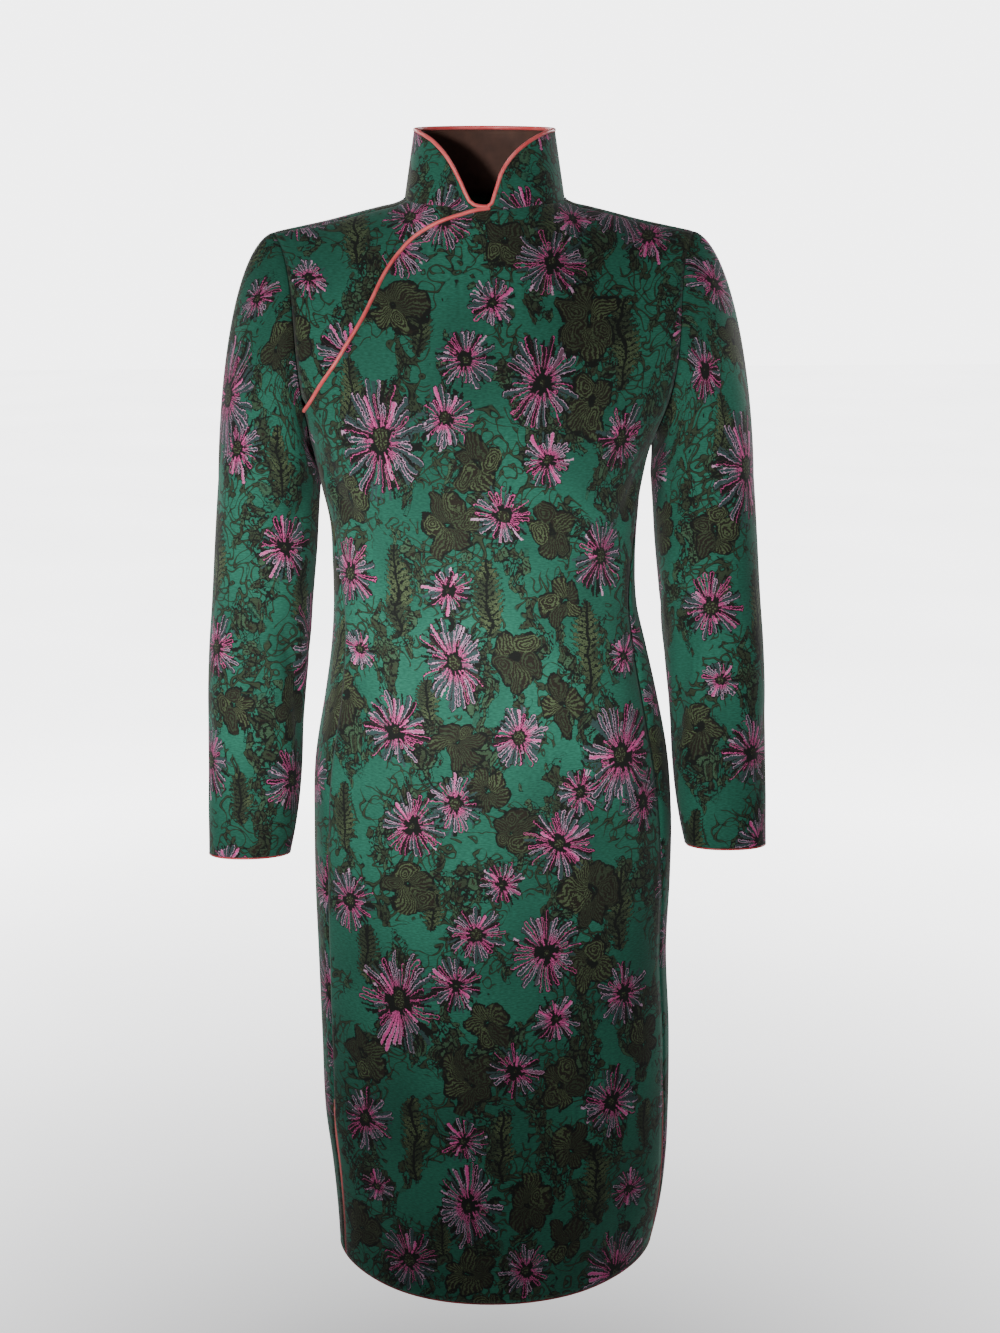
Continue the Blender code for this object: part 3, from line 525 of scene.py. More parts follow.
def fold_depth(folds, turn, height, radius):
    """How far the folds press in at an angle and height: a soft trough along each line, faded at its ends."""
    depth = np.zeros(np.broadcast(turn, height).shape)
    for turn_0, height_0, turn_1, height_1, width, deep in folds:
        along = np.array([np.radians(turn_1 - turn_0) * radius, height_1 - height_0])
        length = np.hypot(along[0], along[1])
        off = np.radians((turn - turn_0 + 180.0) % 360.0 - 180.0) * radius
        rise = height - height_0
        share = (off * along[0] + rise * along[1]) / length**2
        aside = (off * along[1] - rise * along[0]) / length
        fade = np.exp(-((np.clip(np.abs(share - 0.5) - 0.35, 0, None) / 0.18) ** 2))
        depth = depth + deep * fade * np.exp(-((aside / width) ** 2))
    return depth


def body_turn(across, height):
    """The angle round a section, in degrees from its nearer centre line, of points this far across."""
    share = np.clip(across / body(HALF_WIDTH, height), 0, 1)
    return np.degrees(np.arcsin(share ** (body(SQUARENESS, height) / 2)))


def edge_turn(height, back):
    """The angle of a panel's edge from its own centre line: the side seam, and the armhole above it."""
    seam = look_up(SIDE_SEAM, 1, height)
    seam = (180.0 - seam if back else seam) - np.maximum(look_up(SLIT_OPENING, 1, height), 0)
    arm = body_turn(look_up(ARMHOLE, 1, height), height)
    return np.where(height > PIT_Z, arm, seam)


def body_x(turn, height):
    """Distance across, before the section's own shift, at an angle from the centre line."""
    return body(HALF_WIDTH, height) * squared(np.sin(np.radians(turn)), 2 / body(SQUARENESS, height))


def lift(turn, height, close, back):
    """Points on the cloth's outer face. Each section is a squared oval whose depth is multiplied by close,
    which falls from 1 at CAP_Z to 0 at the shoulder line; below 0 the point lies past the shoulder line.
    The turn is counted in degrees from the panel's own centre line."""
    turn, height, close = np.broadcast_arrays(turn, height, close)
    across = body_x(turn, height)
    cosine = np.cos(np.radians(turn))
    on_back = (cosine * close < 0) != back
    depth = np.where(on_back, body(BACK_DEPTH, height), body(FRONT_DEPTH, height))
    depth = depth * np.abs(cosine) ** (2 / body(SQUARENESS, height)) * np.abs(close)
    around = 180.0 - turn if back else turn
    folded = fold_depth(BODY_FOLDS, around, height, BODY_FOLD_RADIUS) * np.abs(close)
    aside = FOLD_PULL * across
    span = np.hypot(aside, depth) + 1e-6
    x = across - aside * folded / span + body(CENTRE, height)
    y = np.where(on_back, 1.0, -1.0) * depth * (1 - folded / span)
    return np.stack([x, y, height], axis=-1)


def panel_place(column, drop, back, shift=0.0):
    """Turn, height and close of a panel's points. Column is the share of its half width. Drop runs from 0
    degrees at the shoulder line to 90 at CAP_Z round a quarter oval, less than 0 past the line; above 90 it
    falls a metre in 90."""
    column, drop, shift = np.broadcast_arrays(column, drop, shift)
    angle = np.minimum(drop, 90.0)
    height = np.full(column.shape, SEARCH_START_Z)
    for _ in range(SEARCH_ROUNDS):
        across = body_x(column * edge_turn(height, back), height) + shift
        top = shoulder_top(across, (drop < 0) != back)
        height = CAP_Z + np.cos(np.radians(angle)) * (top - CAP_Z) - np.maximum(drop - 90.0, 0) / 90.0
    shifted = np.sign(across) * body_turn(np.abs(across), height)
    turn = np.where(shift == 0, column * edge_turn(height, back), shifted)
    return turn, height, np.sin(np.radians(angle))


def plan_angle(across, forward, back):
    """The drop in degrees, and the height, at which the surface passes over a point of the plan."""
    height = np.full(np.shape(across), SEARCH_START_Z)
    for _ in range(SEARCH_ROUNDS):
        square = body(SQUARENESS, height)
        share = np.clip(np.abs(across) / body(HALF_WIDTH, height), 0, 1)
        flat = (1 - share**square) ** (1 / square)
        depth = body(BACK_DEPTH if back else FRONT_DEPTH, height)
        sine = np.clip(np.abs(forward) / (depth * flat), 0, 1)
        height = CAP_Z + np.sqrt(1 - sine**2) * (shoulder_top(across, back) - CAP_Z)
    return np.degrees(np.arcsin(sine)), height


def column_of(across, height, back):
    """The share of the panel's half width at which a point lies."""
    return body_turn(np.abs(across), height) / edge_turn(height, back)


def top_edge(back):
    """Columns of one half of the top edge from the centre to the shoulder point: column, drop and sideways
    shift. The neck's oval comes first, to its corner, then the shoulder seam in front of the line."""
    neck_count, shoulder_count = BACK_COLUMNS if back else FRONT_COLUMNS
    if back:
        swing = np.linspace(0, math.pi / 2, neck_count)
        past = SHOULDER_SEAM_Y * np.linspace(0, 1, CORNER_COLUMNS + 1)[1:]
        forward = np.concatenate([NECK_BACK * np.cos(swing), past])
        neck = NECK_HALF_WIDTH * np.concatenate([np.sin(swing), np.sqrt(1 - (past / NECK_FRONT) ** 2)])
        place = neck + np.interp(forward, *np.array(BACK_CORNER_SHIFT).T)
    else:
        swing = np.linspace(0, math.asin(CORNER_X / NECK_HALF_WIDTH), neck_count)
        neck = NECK_HALF_WIDTH * np.sin(swing)
        forward = -NECK_FRONT * np.cos(swing)
        place = neck
    shoulder = np.linspace(CORNER_X, SHOULDER_POINT_X, shoulder_count + 1)[1:]
    share = (shoulder - CORNER_X) / (SHOULDER_POINT_X - CORNER_X)
    across = np.concatenate([neck, shoulder])
    forward = np.concatenate([forward, SHOULDER_SEAM_Y * (1 - SHOULDER_SEAM_EASE * share**3)])
    place = np.concatenate([place, shoulder])
    behind = forward > -1e-9
    angle_back, height_back = plan_angle(across, forward, True)
    angle_front, height_front = plan_angle(across, forward, False)
    height = np.where(behind, height_back, height_front)
    angle = np.where(behind, angle_back, -angle_front) if back else angle_front
    columns = column_of(place, height, back)
    columns[0] = 0.0
    columns[-1] = 1.0
    return columns, angle, across - place


def placket_angles(columns):
    """The drop, in degrees, of the placket's edge at each column of the wearer's right half."""
    line = np.linspace(0, 1, PLACKET_SAMPLES)
    rows = np.array(PLACKET)
    run = run_along(rows)
    keyed = np.column_stack([run / run[-1], rows])
    across = np.abs(look_up(keyed, 1, line))
    height = look_up(keyed, 2, line)
    top = shoulder_top(across, False)
    angle = np.degrees(np.arccos(np.clip((height - CAP_Z) / (top - CAP_Z), 0, 1)))
    column = np.maximum.accumulate(column_of(across, height, False) + 1e-6 * line)
    shoulder = top_edge(False)[1][-1]
    end = shoulder + (PIT_DROP - shoulder) * PLACKET_END_SHARE
    before = column < PLACKET_COLUMN_END
    return np.interp(columns, np.append(column[before], 1.0), np.append(angle[before], end))


def hem_height(turn):
    """Height of the hem: straight, and a little higher at the side seams."""
    return HEM_Z + HEM_SIDE_RISE * np.abs(np.sin(np.radians(turn))) ** 3


def cap_shares():
    """Shares of the way down from the top edge to the armpit, CAP_FINE rows to each step."""
    steps = len(CAP_STEPS) - 1
    return np.interp(np.linspace(0, steps, steps * CAP_FINE + 1), np.arange(steps + 1), CAP_STEPS)


def low_place(columns, back):
    """Turn, height and close of the rows below the armpits: level lines that bend little by little to the
    shape of the hem."""
    count = round((PIT_Z - HEM_Z) / LOW_ROW_STEP)
    heights = np.linspace(PIT_Z, HEM_Z, count + 1)[1:, None]
    fall = (PIT_Z - heights) / (PIT_Z - HEM_Z)
    turn = columns[None, :] * edge_turn(heights - 1e-9, back)
    heights = heights + fall**4 * (hem_height(turn) - HEM_Z)
    return columns[None, :] * edge_turn(heights - 1e-9, back), heights, np.ones(turn.shape)


def cloth_lengths(turn, height, close, back, steps=16):
    """The cloth's own lengths at a panel's points, in metres: across from the centre line round the section,
    and up from CAP_Z round the quarter oval of the shoulder. Both are sums over even steps."""
    share = np.linspace(0, 1, steps + 1)[:, None, None]
    ring = lift(turn * share, height, close, back)
    across = np.sign(turn) * np.linalg.norm(np.diff(ring, axis=0), axis=-1).sum(axis=0)
    deep = np.abs(lift(turn, height, 1.0, back)[..., 1])
    drop = np.arcsin(np.clip(close, -1, 1))
    rise = np.where(height > CAP_Z, (height - CAP_Z) / np.maximum(np.cos(drop), 0.05), 0.0)
    angle = drop + (math.pi / 2 - drop) * share
    pace = np.hypot(deep * np.cos(angle), rise * np.sin(angle))
    up = (pace[1:] + pace[:-1]).sum(axis=0) / (2 * steps) * (math.pi / 2 - drop)
    return np.stack([across, np.where(height > CAP_Z, CAP_Z + up, height)], axis=-1)


def panel(columns, top, back, shifts=0.0):
    """A panel's points and cloth lengths, from its top edge down to the armpits and on to the hem."""
    share = cap_shares()[:, None]
    drops = top[None, :] + (PIT_DROP - top[None, :]) * share
    places = panel_place(columns[None, :], drops, back, shifts * np.clip(1 - share / 0.5, 0, 1) ** 2)
    places = [np.concatenate(pair) for pair in zip(places, low_place(columns, back))]
    return lift(*places, back), cloth_lengths(*places, back)


def grid_normals(points):
    """Outward unit normals of a grid of points, from the run of its rows and columns."""
    return unit(np.cross(np.gradient(points, axis=0), np.gradient(points, axis=1)))


def ring_normals(points):
    """Outward unit normals of a grid whose first and last columns are the same line."""
    around = np.concatenate([points[:, -2:-1], points, points[:, 1:2]], axis=1)
    return grid_normals(around)[:, 1:-1]


def edge_distance(points, axis, end):
    """How far each point lies from one end of its row or column, along the cloth."""
    steps = np.linalg.norm(np.diff(points, axis=axis), axis=-1)
    if end:
        steps = np.flip(steps, axis)
    start = np.zeros_like(np.take(steps, [0], axis))
    run = np.concatenate([start, np.cumsum(steps, axis)], axis)
    return np.flip(run, axis) if end else run


def seam_dip(distances):
    """How deep the cloth rolls in beside seams: SEAM_DIP within about SEAM_REACH of each."""
    roll = sum(np.exp(-((distance / SEAM_REACH) ** 2)) for distance in distances)
    return (SEAM_DIP * np.minimum(roll, 1.2))[..., None]


def sink_panel(points, top_off):
    """A panel's points sunk along its side seams, above the slits, and along its top edge. Where top_off
    isn't 0 the top edge is no seam."""
    open_slit = np.where(points[..., 2] < SLIT_TOP_Z, 1.0, 0.0)
    side = [edge_distance(points, 1, end) + open_slit for end in (0, 1)]
    return points - grid_normals(points) * seam_dip(side + [edge_distance(points, 0, 0) + top_off])


def front_panel():
    """The front: a full half on the wearer's left, and on the right a half that starts at the placket."""
    columns, top, _ = top_edge(False)
    right = np.linspace(0, 1, PLACKET_COLUMNS + 1)[1:]
    all_columns = np.concatenate([-right[::-1], columns])
    all_top = np.concatenate([placket_angles(right)[::-1], top])
    points, lengths = panel(all_columns, all_top, False)
    return sink_panel(points, np.where(np.arange(len(all_columns)) >= len(right), 0.0, 1.0)), lengths


def back_panel():
    """The whole back, reaching over the shoulder line to the shoulder seams."""
    columns, top, shifts = top_edge(True)
    columns = np.concatenate([columns[:0:-1], -columns])
    top = np.concatenate([top[:0:-1], top])
    shifts = np.concatenate([shifts[:0:-1], -shifts])
    points, lengths = panel(columns, top, True, shifts[None, :])
    return sink_panel(points, 0.0), lengths * np.array([-1, 1])


def under_lap():
    """The under lap: from the right shoulder seam and neck to a line below the placket, sunk under it."""
    columns, top, _ = top_edge(False)
    placket = placket_angles(columns)
    extra = slice(1, LAP_EXTRA + 1)
    columns = np.concatenate([-columns[::-1], columns[extra]])
    placket = np.concatenate([placket[::-1], top[extra] + 0.2])
    top = np.concatenate([top[::-1], top[extra]])
    line = np.maximum(placket, top + LAP_LEAST)
    near = np.minimum(LAP_NEAR, 0.6 * (line - top))
    reach = LAP_REACH * np.sqrt(1 - np.abs(columns) ** 8)
    above = top + (line - near - top) * np.linspace(0, 1, LAP_ROWS[0] + 1)[:-1, None]
    below = (line - near) + (near + reach) * np.linspace(0, 1, LAP_ROWS[1])[:, None]
    rows = np.concatenate([above, below])
    even = top + (PIT_DROP - top) * np.linspace(0, 1, len(rows))[:, None]
    weight = np.abs(columns) ** 6
    drops = rows * (1 - weight) + even * weight
    places = panel_place(columns[None, :], drops, False)
    points = lift(*places, False)
    sunk = np.clip((drops - placket + LAP_SINK_START) / LAP_SINK_RUN, 0, 1)
    dip = (LAP_DIP * sunk * sunk * (3 - 2 * sunk))[..., None]
    dip = np.maximum(dip, seam_dip([edge_distance(points, 0, 0), edge_distance(points, 1, 0)]))
    return points - grid_normals(points) * dip, cloth_lengths(*places, False)


def armhole_loop(side):
    """The armhole's points: from the shoulder seam down the front to the armpit and up the back."""
    top = top_edge(False)[1][-1]
    share = cap_shares()
    front = lift(*panel_place(side, top + (PIT_DROP - top) * share, False), False)
    back = lift(*panel_place(side, -top + (PIT_DROP + top) * share, True), True)
    return np.concatenate([front, back[-2::-1]])


def sleeve(side):
    """A sleeve, with its first and last column along the underarm: from the armhole each line bends out and
    down on a cubic to the first level ring, then runs through the sleeve's sections to the cuff."""
    loop = armhole_loop(side)
    half = len(loop) // 2
    front = run_along(loop[: half + 1])
    back = run_along(loop[half:])[1:]
    down = SLEEVE_SEAM_TURN + (180 - SLEEVE_SEAM_TURN) * front / front[-1]
    up = 180 + (180 + SLEEVE_SEAM_TURN) * back / back[-1]
    turn = np.concatenate([down, up])
    turn = np.concatenate([turn[half:-1], turn[: half + 1] + 360.0])
    loop = np.concatenate([loop[half:-1], loop[: half + 1]])
    cosine = np.cos(np.radians(turn))
    sine = np.sin(np.radians(turn))
    flat_x = squared(cosine, 2 / SLEEVE_SQUARENESS)
    flat_y = -squared(sine, 2 / SLEEVE_SQUARENESS)

    def ring(height):
        x, y, wide, deep, rise = (look_up(SLEEVE_SECTIONS, number, height) for number in range(1, 6))
        across = side * (x + wide * flat_x) + SLEEVE_SHIFT
        return np.stack([across, y + deep * flat_y, height - rise * deep * flat_y], axis=-1)

    def slopes(top, pit):
        outer = ((1 + cosine) / 2)[:, None]
        return (np.array(top) * outer + np.array(pit) * (1 - outer)) * np.array([side, 1, 1])

    start = slopes(SLEEVE_TOP_START, SLEEVE_PIT_START)
    start[:, 1] -= SLEEVE_HEAD_BULGE * sine
    end = slopes(SLEEVE_TOP_END, SLEEVE_PIT_END)
    first_z = SLEEVE_SECTIONS[0][0]
    t = (np.linspace(0, 1, SLEEVE_HEAD_ROWS + 1) ** SLEEVE_HEAD_SPREAD)[:, None, None]
    count = round((first_z - CUFF_Z) / LOW_ROW_STEP)
    low = np.stack([ring(height) for height in np.linspace(first_z, CUFF_Z, count + 1)[1:]])
    points = np.concatenate([cubic(t, loop, start, ring(first_z), end), low])
    if side > 0:
        points = points[:, ::-1]
        turn = turn[::-1]
    pressed = fold_depth(SLEEVE_FOLDS, (turn % 360.0)[None, :], points[..., 2], SLEEVE_FOLD_RADIUS)
    pressed = pressed * np.clip(edge_distance(points, 0, 0) / SLEEVE_FOLD_START, 0, 1)
    seams = [edge_distance(points, *which) for which in ((0, 0), (1, 0), (1, 1))]
    return points - ring_normals(points) * (pressed[..., None] + seam_dip(seams)), sleeve_lengths(points)


def sleeve_lengths(points):
    """A sleeve's cloth lengths: round each ring from the underarm, and up each column from the cuff."""
    around = edge_distance(points, 1, 0)
    around = around - around[:, -1:] / 2
    return np.stack([around, CUFF_Z + edge_distance(points, 0, 1)], axis=-1)


def neck_line():
    """The neck seam, from the collar's right front end round the back to its left front end."""
    columns, top, _ = top_edge(False)
    neck = slice(FRONT_COLUMNS[0])
    front = lift(*panel_place(columns[neck], top[neck], False), False)
    columns, top, shifts = top_edge(True)
    neck = slice(BACK_COLUMNS[0] + CORNER_COLUMNS)
    back = lift(*panel_place(columns[neck], top[neck], True, shifts[neck]), True)
    flip = np.array([-1, 1, 1])
    return np.concatenate([front * flip, back[-2::-1] * flip, back[1:], front[-2::-1]])


def collar():
    """The collar: from the neck seam up to a smaller oval, cut away at the front by the edge tables."""
    base = neck_line()
    around = np.arctan2(base[:, 0] / NECK_HALF_WIDTH, -base[:, 1] / NECK_FRONT)
    turn = np.degrees(np.abs(around))
    right = look_up(COLLAR_EDGE_RIGHT, 1, turn)
    left = look_up(COLLAR_EDGE_LEFT, 1, turn)
    share = np.where(np.arange(len(base)) < len(base) // 2, right, left)
    depth = np.where(np.cos(around) > 0, COLLAR_TOP_FRONT, COLLAR_TOP_BACK)
    rim_z = COLLAR_TOP_Z + COLLAR_BACK_RISE * (1 - np.cos(around)) / 2
    rim = np.stack([COLLAR_TOP_HALF_WIDTH * np.sin(around), -depth * np.cos(around), rim_z], axis=-1)
    climb = share * np.linspace(0, 1, COLLAR_ROWS)[:, None]
    climb[0] = -COLLAR_SEAM_DEPTH
    points = base + (rim - base) * climb[..., None]
    run = edge_distance(points, 1, 0)
    lengths = np.stack([run - run[:, -1:] / 2, edge_distance(points, 0, 0)], axis=-1)
    return points, lengths


# ---------------------------------------------------------------- the repeat's motifs on the cloth

CHARTS = {"bloom": BLOOMS, "rose": ROSES, "spray": SPRAYS}


def share_out(chart):
    """The layer of each motif: the first in which it keeps clear of every motif that is already there, in
    its own repeat and the ones around it."""
    layers = []
    for number, row in enumerate(chart):
        taken = set()
        for other, layer in zip(chart[:number], layers):
            across = (row[0] - other[0] + REPEAT[0] / 2) % REPEAT[0] - REPEAT[0] / 2
            up = (row[1] - other[1] + REPEAT[1] / 2) % REPEAT[1] - REPEAT[1] / 2
            wide = MOTIF_REACH * (row[2] + other[2]) + MOTIF_GAP
            tall = MOTIF_REACH * (row[2] * row[3] + other[2] * other[3]) + MOTIF_GAP
            if (across / wide) ** 2 + (up / tall) ** 2 < 1:
                taken.add(layer)
        layers.append(min(set(range(len(chart))) - taken))
    return layers


def place_motifs(chart, layers, layer, lengths):
    """For each point of the cloth, the nearest motif of one layer: the point's own place in it, in radii,
    its cover, and the motif's seed, count and radius."""
    place = np.zeros(lengths.shape[:2] + (3,))
    place[..., 2] = -1.0
    kind = np.zeros_like(place)
    low = lengths.reshape(-1, 2).min(axis=0)
    high = lengths.reshape(-1, 2).max(axis=0)
    for number, (row, of_layer) in enumerate(zip(chart, layers)):
        if of_layer != layer:
            continue
        centre = np.array(row[:2])
        size = np.array([row[2], row[2] * row[3]])
        first = np.floor((low - centre - 2 * size) / REPEAT).astype(int)
        last = np.ceil((high - centre + 2 * size) / REPEAT).astype(int)
        for across in range(first[0], last[0] + 1):
            for up in range(first[1], last[1] + 1):
                own = (lengths - centre - np.array([across, up]) * REPEAT) / size
                cover = 1 - np.hypot(own[..., 0], own[..., 1]) / MOTIF_REACH
                nearer = cover > place[..., 2]
                place[nearer] = np.concatenate([own, cover[..., None]], axis=-1)[nearer]
                kind[nearer] = (np.array([number, across, up]) @ SEED_STEPS, row[4], row[2])
    return place, kind


# ---------------------------------------------------------------- meshes


def add_object(name, data):
    """An object in the scene, at the origin."""
    made = bpy.data.objects.new(name, data)
    bpy.context.scene.collection.objects.link(made)
    return made


def add_mesh(name, points, faces, materials):
    """A smooth mesh object at the origin."""
    mesh = bpy.data.meshes.new(name)
    mesh.from_pydata(points.tolist(), [], faces.tolist())
    for material in materials:
        mesh.materials.append(material)
    mesh.shade_smooth()
    return add_object(name, mesh)


def add_grid(name, points, lengths, order, materials, loop_rows, loop_columns):
    """A grid of four-sided faces with the lengths of its cloth as its map. Order gives a face's corners as
    rows and columns past its first. Where rows or columns loop, the last is the first. Gives the piece and
    the grid's point at each face corner."""
    rows, columns = points.shape[:2]
    row, column = np.meshgrid(np.arange(rows - 1), np.arange(columns - 1), indexing="ij")
    here = (row * columns + column).reshape(-1, 1)
    corners = here + np.array([down * columns + along for down, along in order])
    own_rows = rows - loop_rows
    own_columns = columns - loop_columns
    faces = ((corners // columns) % own_rows) * own_columns + (corners % columns) % own_columns
    piece = add_mesh(name, points[:own_rows, :own_columns].reshape(-1, 3), faces, materials)
    piece.data.uv_layers.new(name="cloth")
    piece.data.uv_layers["cloth"].data.foreach_set("uv", lengths.reshape(-1, 2)[corners.ravel()].ravel())
    return piece, corners.ravel()


def add_cloth(name, points, lengths, offset, wall, outside, inside, closed=False):
    """A cloth piece: a grid facing out, with the places of its motifs at every face corner, made a thin wall
    inwards. A closed grid's last column is its first."""
    lengths = lengths + np.array(offset)
    order = ((0, 0), (1, 0), (1, 1), (0, 1))
    piece, corners = add_grid(name, points, lengths, order, [outside, inside], False, closed)
    for label, chart in CHARTS.items():
        layers = share_out(chart)
        for layer in range(max(layers) + 1):
            values = place_motifs(chart, layers, layer, lengths)
            for tail, value in zip(("place", "kind"), values):
                attribute = piece.data.attributes.new(f"{label}_{layer}_{tail}", "FLOAT_VECTOR", "CORNER")
                attribute.data.foreach_set("vector", value.reshape(-1, 3)[corners].ravel())
    solid = piece.modifiers.new("Wall", "SOLIDIFY")
    solid.thickness = wall
    solid.offset = -1
    solid.material_offset = 1
    solid.material_offset_rim = 0
    return piece


def add_tube(name, path, normals, radius, material, closed=False):
    """A round cord along a path: a circle carried along it, square to the path, shrunk to a point over the
    last radius of an open end. The cloth's normals set where the circle starts. Its map holds the length
    along the cord and the angle round it as a length."""
    if closed:
        path = np.concatenate([path, path[:1]])
        normals = np.concatenate([normals, normals[:1]])
        size = np.full(len(path), radius)
    else:
        path, normals, size = round_ends(path, normals, radius)
    ahead = np.gradient(path, axis=0)
    if closed:
        ahead[0] = ahead[-1] = path[1] - path[-2]
    ahead = unit(ahead)
    up = unit(normals - ahead * (normals * ahead).sum(axis=1, keepdims=True))
    aside = np.cross(ahead, up)
    angle = np.linspace(0, 2 * math.pi, CORD_SIDES + 1)
    circle = up[:, None] * np.cos(angle)[:, None] + aside[:, None] * np.sin(angle)[:, None]
    points = path[:, None] + circle * size[:, None, None]
    lengths = np.stack(np.broadcast_arrays(run_along(path)[:, None], angle * radius), axis=-1)
    order = ((0, 0), (0, 1), (1, 1), (1, 0))
    return add_grid(name, points, lengths, order, [material], closed, True)[0]


def round_ends(path, normals, radius):
    """A path with more points near its two ends, and the cord's size at each, on a half circle there."""
    run = run_along(path)
    inner = run[(run > radius * 1.05) & (run < run[-1] - radius * 1.05)]
    ends = radius * (1 - np.cos(np.linspace(0, math.pi / 2, CORD_END_ROWS)))
    at = np.concatenate([ends, inner, run[-1] - ends[::-1]])
    near = np.minimum(np.minimum(at, run[-1] - at), radius)
    size = np.sqrt(np.maximum(radius**2 - (radius - near) ** 2, (0.02 * radius) ** 2))
    moved = [np.stack([np.interp(at, run, side) for side in line.T], axis=1) for line in (path, normals)]
    return (*moved, size)


def beside(edge, normals, reach, sink, closed=False):
    """A path beside an edge: moved out from the cloth by reach, square to each stretch and mitred at its
    corners, and into the cloth's thickness by sink. The edge runs with the cloth on its left hand."""
    if closed:
        edge = np.concatenate([edge[-1:], edge, edge[:1]])
        normals = np.concatenate([normals[-1:], normals, normals[:1]])
    out = unit(np.cross(np.diff(edge, axis=0), normals[1:] + normals[:-1]))
    before = np.concatenate([out[:1], out])
    after = np.concatenate([out, out[-1:]])
    mitre = (before + after) / (1 + (before * after).sum(axis=1, keepdims=True))
    path = edge + mitre * reach - normals * sink
    return path[1:-1] if closed else path


# ---------------------------------------------------------------- materials


def step(operation, swapped=False):
    """An operator that adds one node of arithmetic, with its two values swapped or not."""

    def run(self, other):
        return self.wire.math(operation, *((other, self) if swapped else (self, other)))

    return run


class Signal:
    """A node's output, which adds, subtracts, multiplies and divides as a number does."""

    __add__ = step("ADD")
    __sub__ = step("SUBTRACT")
    __rsub__ = step("SUBTRACT", swapped=True)
    __mul__ = step("MULTIPLY")
    __truediv__ = step("DIVIDE")
    __rtruediv__ = step("DIVIDE", swapped=True)

    def __init__(self, wire, socket):
        self.wire = wire
        self.socket = socket

    def sibling(self, name):
        """Another output of the same node."""
        return Signal(self.wire, self.socket.node.outputs[name])


class Wiring:
    """Adds nodes to a tree and joins them. Each call gives the new node's output."""

    def __init__(self, tree):
        self.tree = tree

    def link(self, signal, socket):
        """Joins an output to an input."""
        self.tree.links.new(signal.socket, socket)

    def add(self, kind, inputs=(), output=0, **settings):
        """A node with its settings. Each input is a constant or another node's output."""
        node = self.tree.nodes.new(kind)
        for name, value in settings.items():
            setattr(node, name, value)
        for name, value in dict(inputs).items():
            if isinstance(value, Signal):
                self.link(value, node.inputs[name])
            else:
                node.inputs[name].default_value = value
        return Signal(self, node.outputs[output])

    def math(self, operation, *values):
        """One step of arithmetic."""
        return self.add("ShaderNodeMath", enumerate(values), operation=operation)

    def vector(self, operation, *values, output=0):
        """One step of arithmetic on vectors."""
        return self.add("ShaderNodeVectorMath", enumerate(values), output, operation=operation)

    def join(self, x, y, z=0.0):
        """A vector of three numbers."""
        return self.add("ShaderNodeCombineXYZ", {0: x, 1: y, 2: z})

    def split(self, vector):
        """The three numbers of a vector."""
        x = self.add("ShaderNodeSeparateXYZ", {0: vector})
        return x, x.sibling("Y"), x.sibling("Z")

    def length(self, vector):
        """How long a vector is."""
        return self.vector("LENGTH", vector, output=1)

    def scaled(self, vector, factor):
        """A vector or colour times a number."""
        return self.vector("MULTIPLY", vector, self.join(factor, factor, factor))

    def ramp(self, value, low, high, start=0.0, end=1.0):
        """A value carried from low..high to start..end and kept between them."""
        inputs = {"Value": value, "From Min": low, "From Max": high, "To Min": start, "To Max": end}
        return self.add("ShaderNodeMapRange", inputs, clamp=True)

    def mix(self, share, first, second):
        """Two colours mixed by a share."""
        inputs = {0: share, 6: first, 7: second}
        for number in (6, 7):
            if isinstance(inputs[number], tuple):
                inputs[number] = (*inputs[number], 1.0)
        return self.add("ShaderNodeMix", inputs, 2, data_type="RGBA")

    def blend(self, value, low, high, first, second):
        """The first colour where a value is low, and the second where it is high."""
        return self.mix(self.ramp(value, low, high), first, second)

    def pick(self, lot, share, first, second):
        """The first colour for this share of the lots, and the second for the rest."""
        return self.blend(lot, share, share + LOT_STEP, first, second)

    def crisp(self, value, at=0.0):
        """0 where a value is less than another, and 1 where it is more, with a crisp edge."""
        return self.ramp(value, at - CRISP, at + CRISP)

    def between(self, share, ends):
        """A share of the way from the first end to the second."""
        return share * (ends[1] - ends[0]) + ends[0]

    def whole(self, count, most):
        """The whole part of a count, kept from 0 to less than most."""
        return self.math("WRAP", self.math("FLOOR", count), most, 0.0)

    def ping(self, value, scale):
        """A wave of straight lines from 0 to 0.5 and back, this many times in each unit of the value."""
        return self.math("PINGPONG", value * scale, 0.5)

    def noise(self, place, scale, detail=2.0, distortion=0.0, output=0):
        """Soft noise at a place."""
        inputs = {"Vector": place, "Scale": scale, "Detail": detail, "Distortion": distortion}
        return self.add("ShaderNodeTexNoise", inputs, output, noise_dimensions="3D")

    def lots(self, number, seed):
        """Three chances between 0 and 1 for a numbered thing."""
        vector = {"Vector": self.join(number, seed)}
        return self.split(self.add("ShaderNodeTexWhiteNoise", vector, 1, noise_dimensions="3D"))

    def polar(self, place):
        """Distance from the middle, and the share of a full turn round it."""
        x, y, _ = self.split(place)
        return self.length(place), self.math("ARCTAN2", x, y) / (2 * math.pi)


MOTIF_INPUTS = {"Under": "Color", "Place": "Vector", "Kind": "Vector", "Jag": "Vector", "Wander": "Vector"}


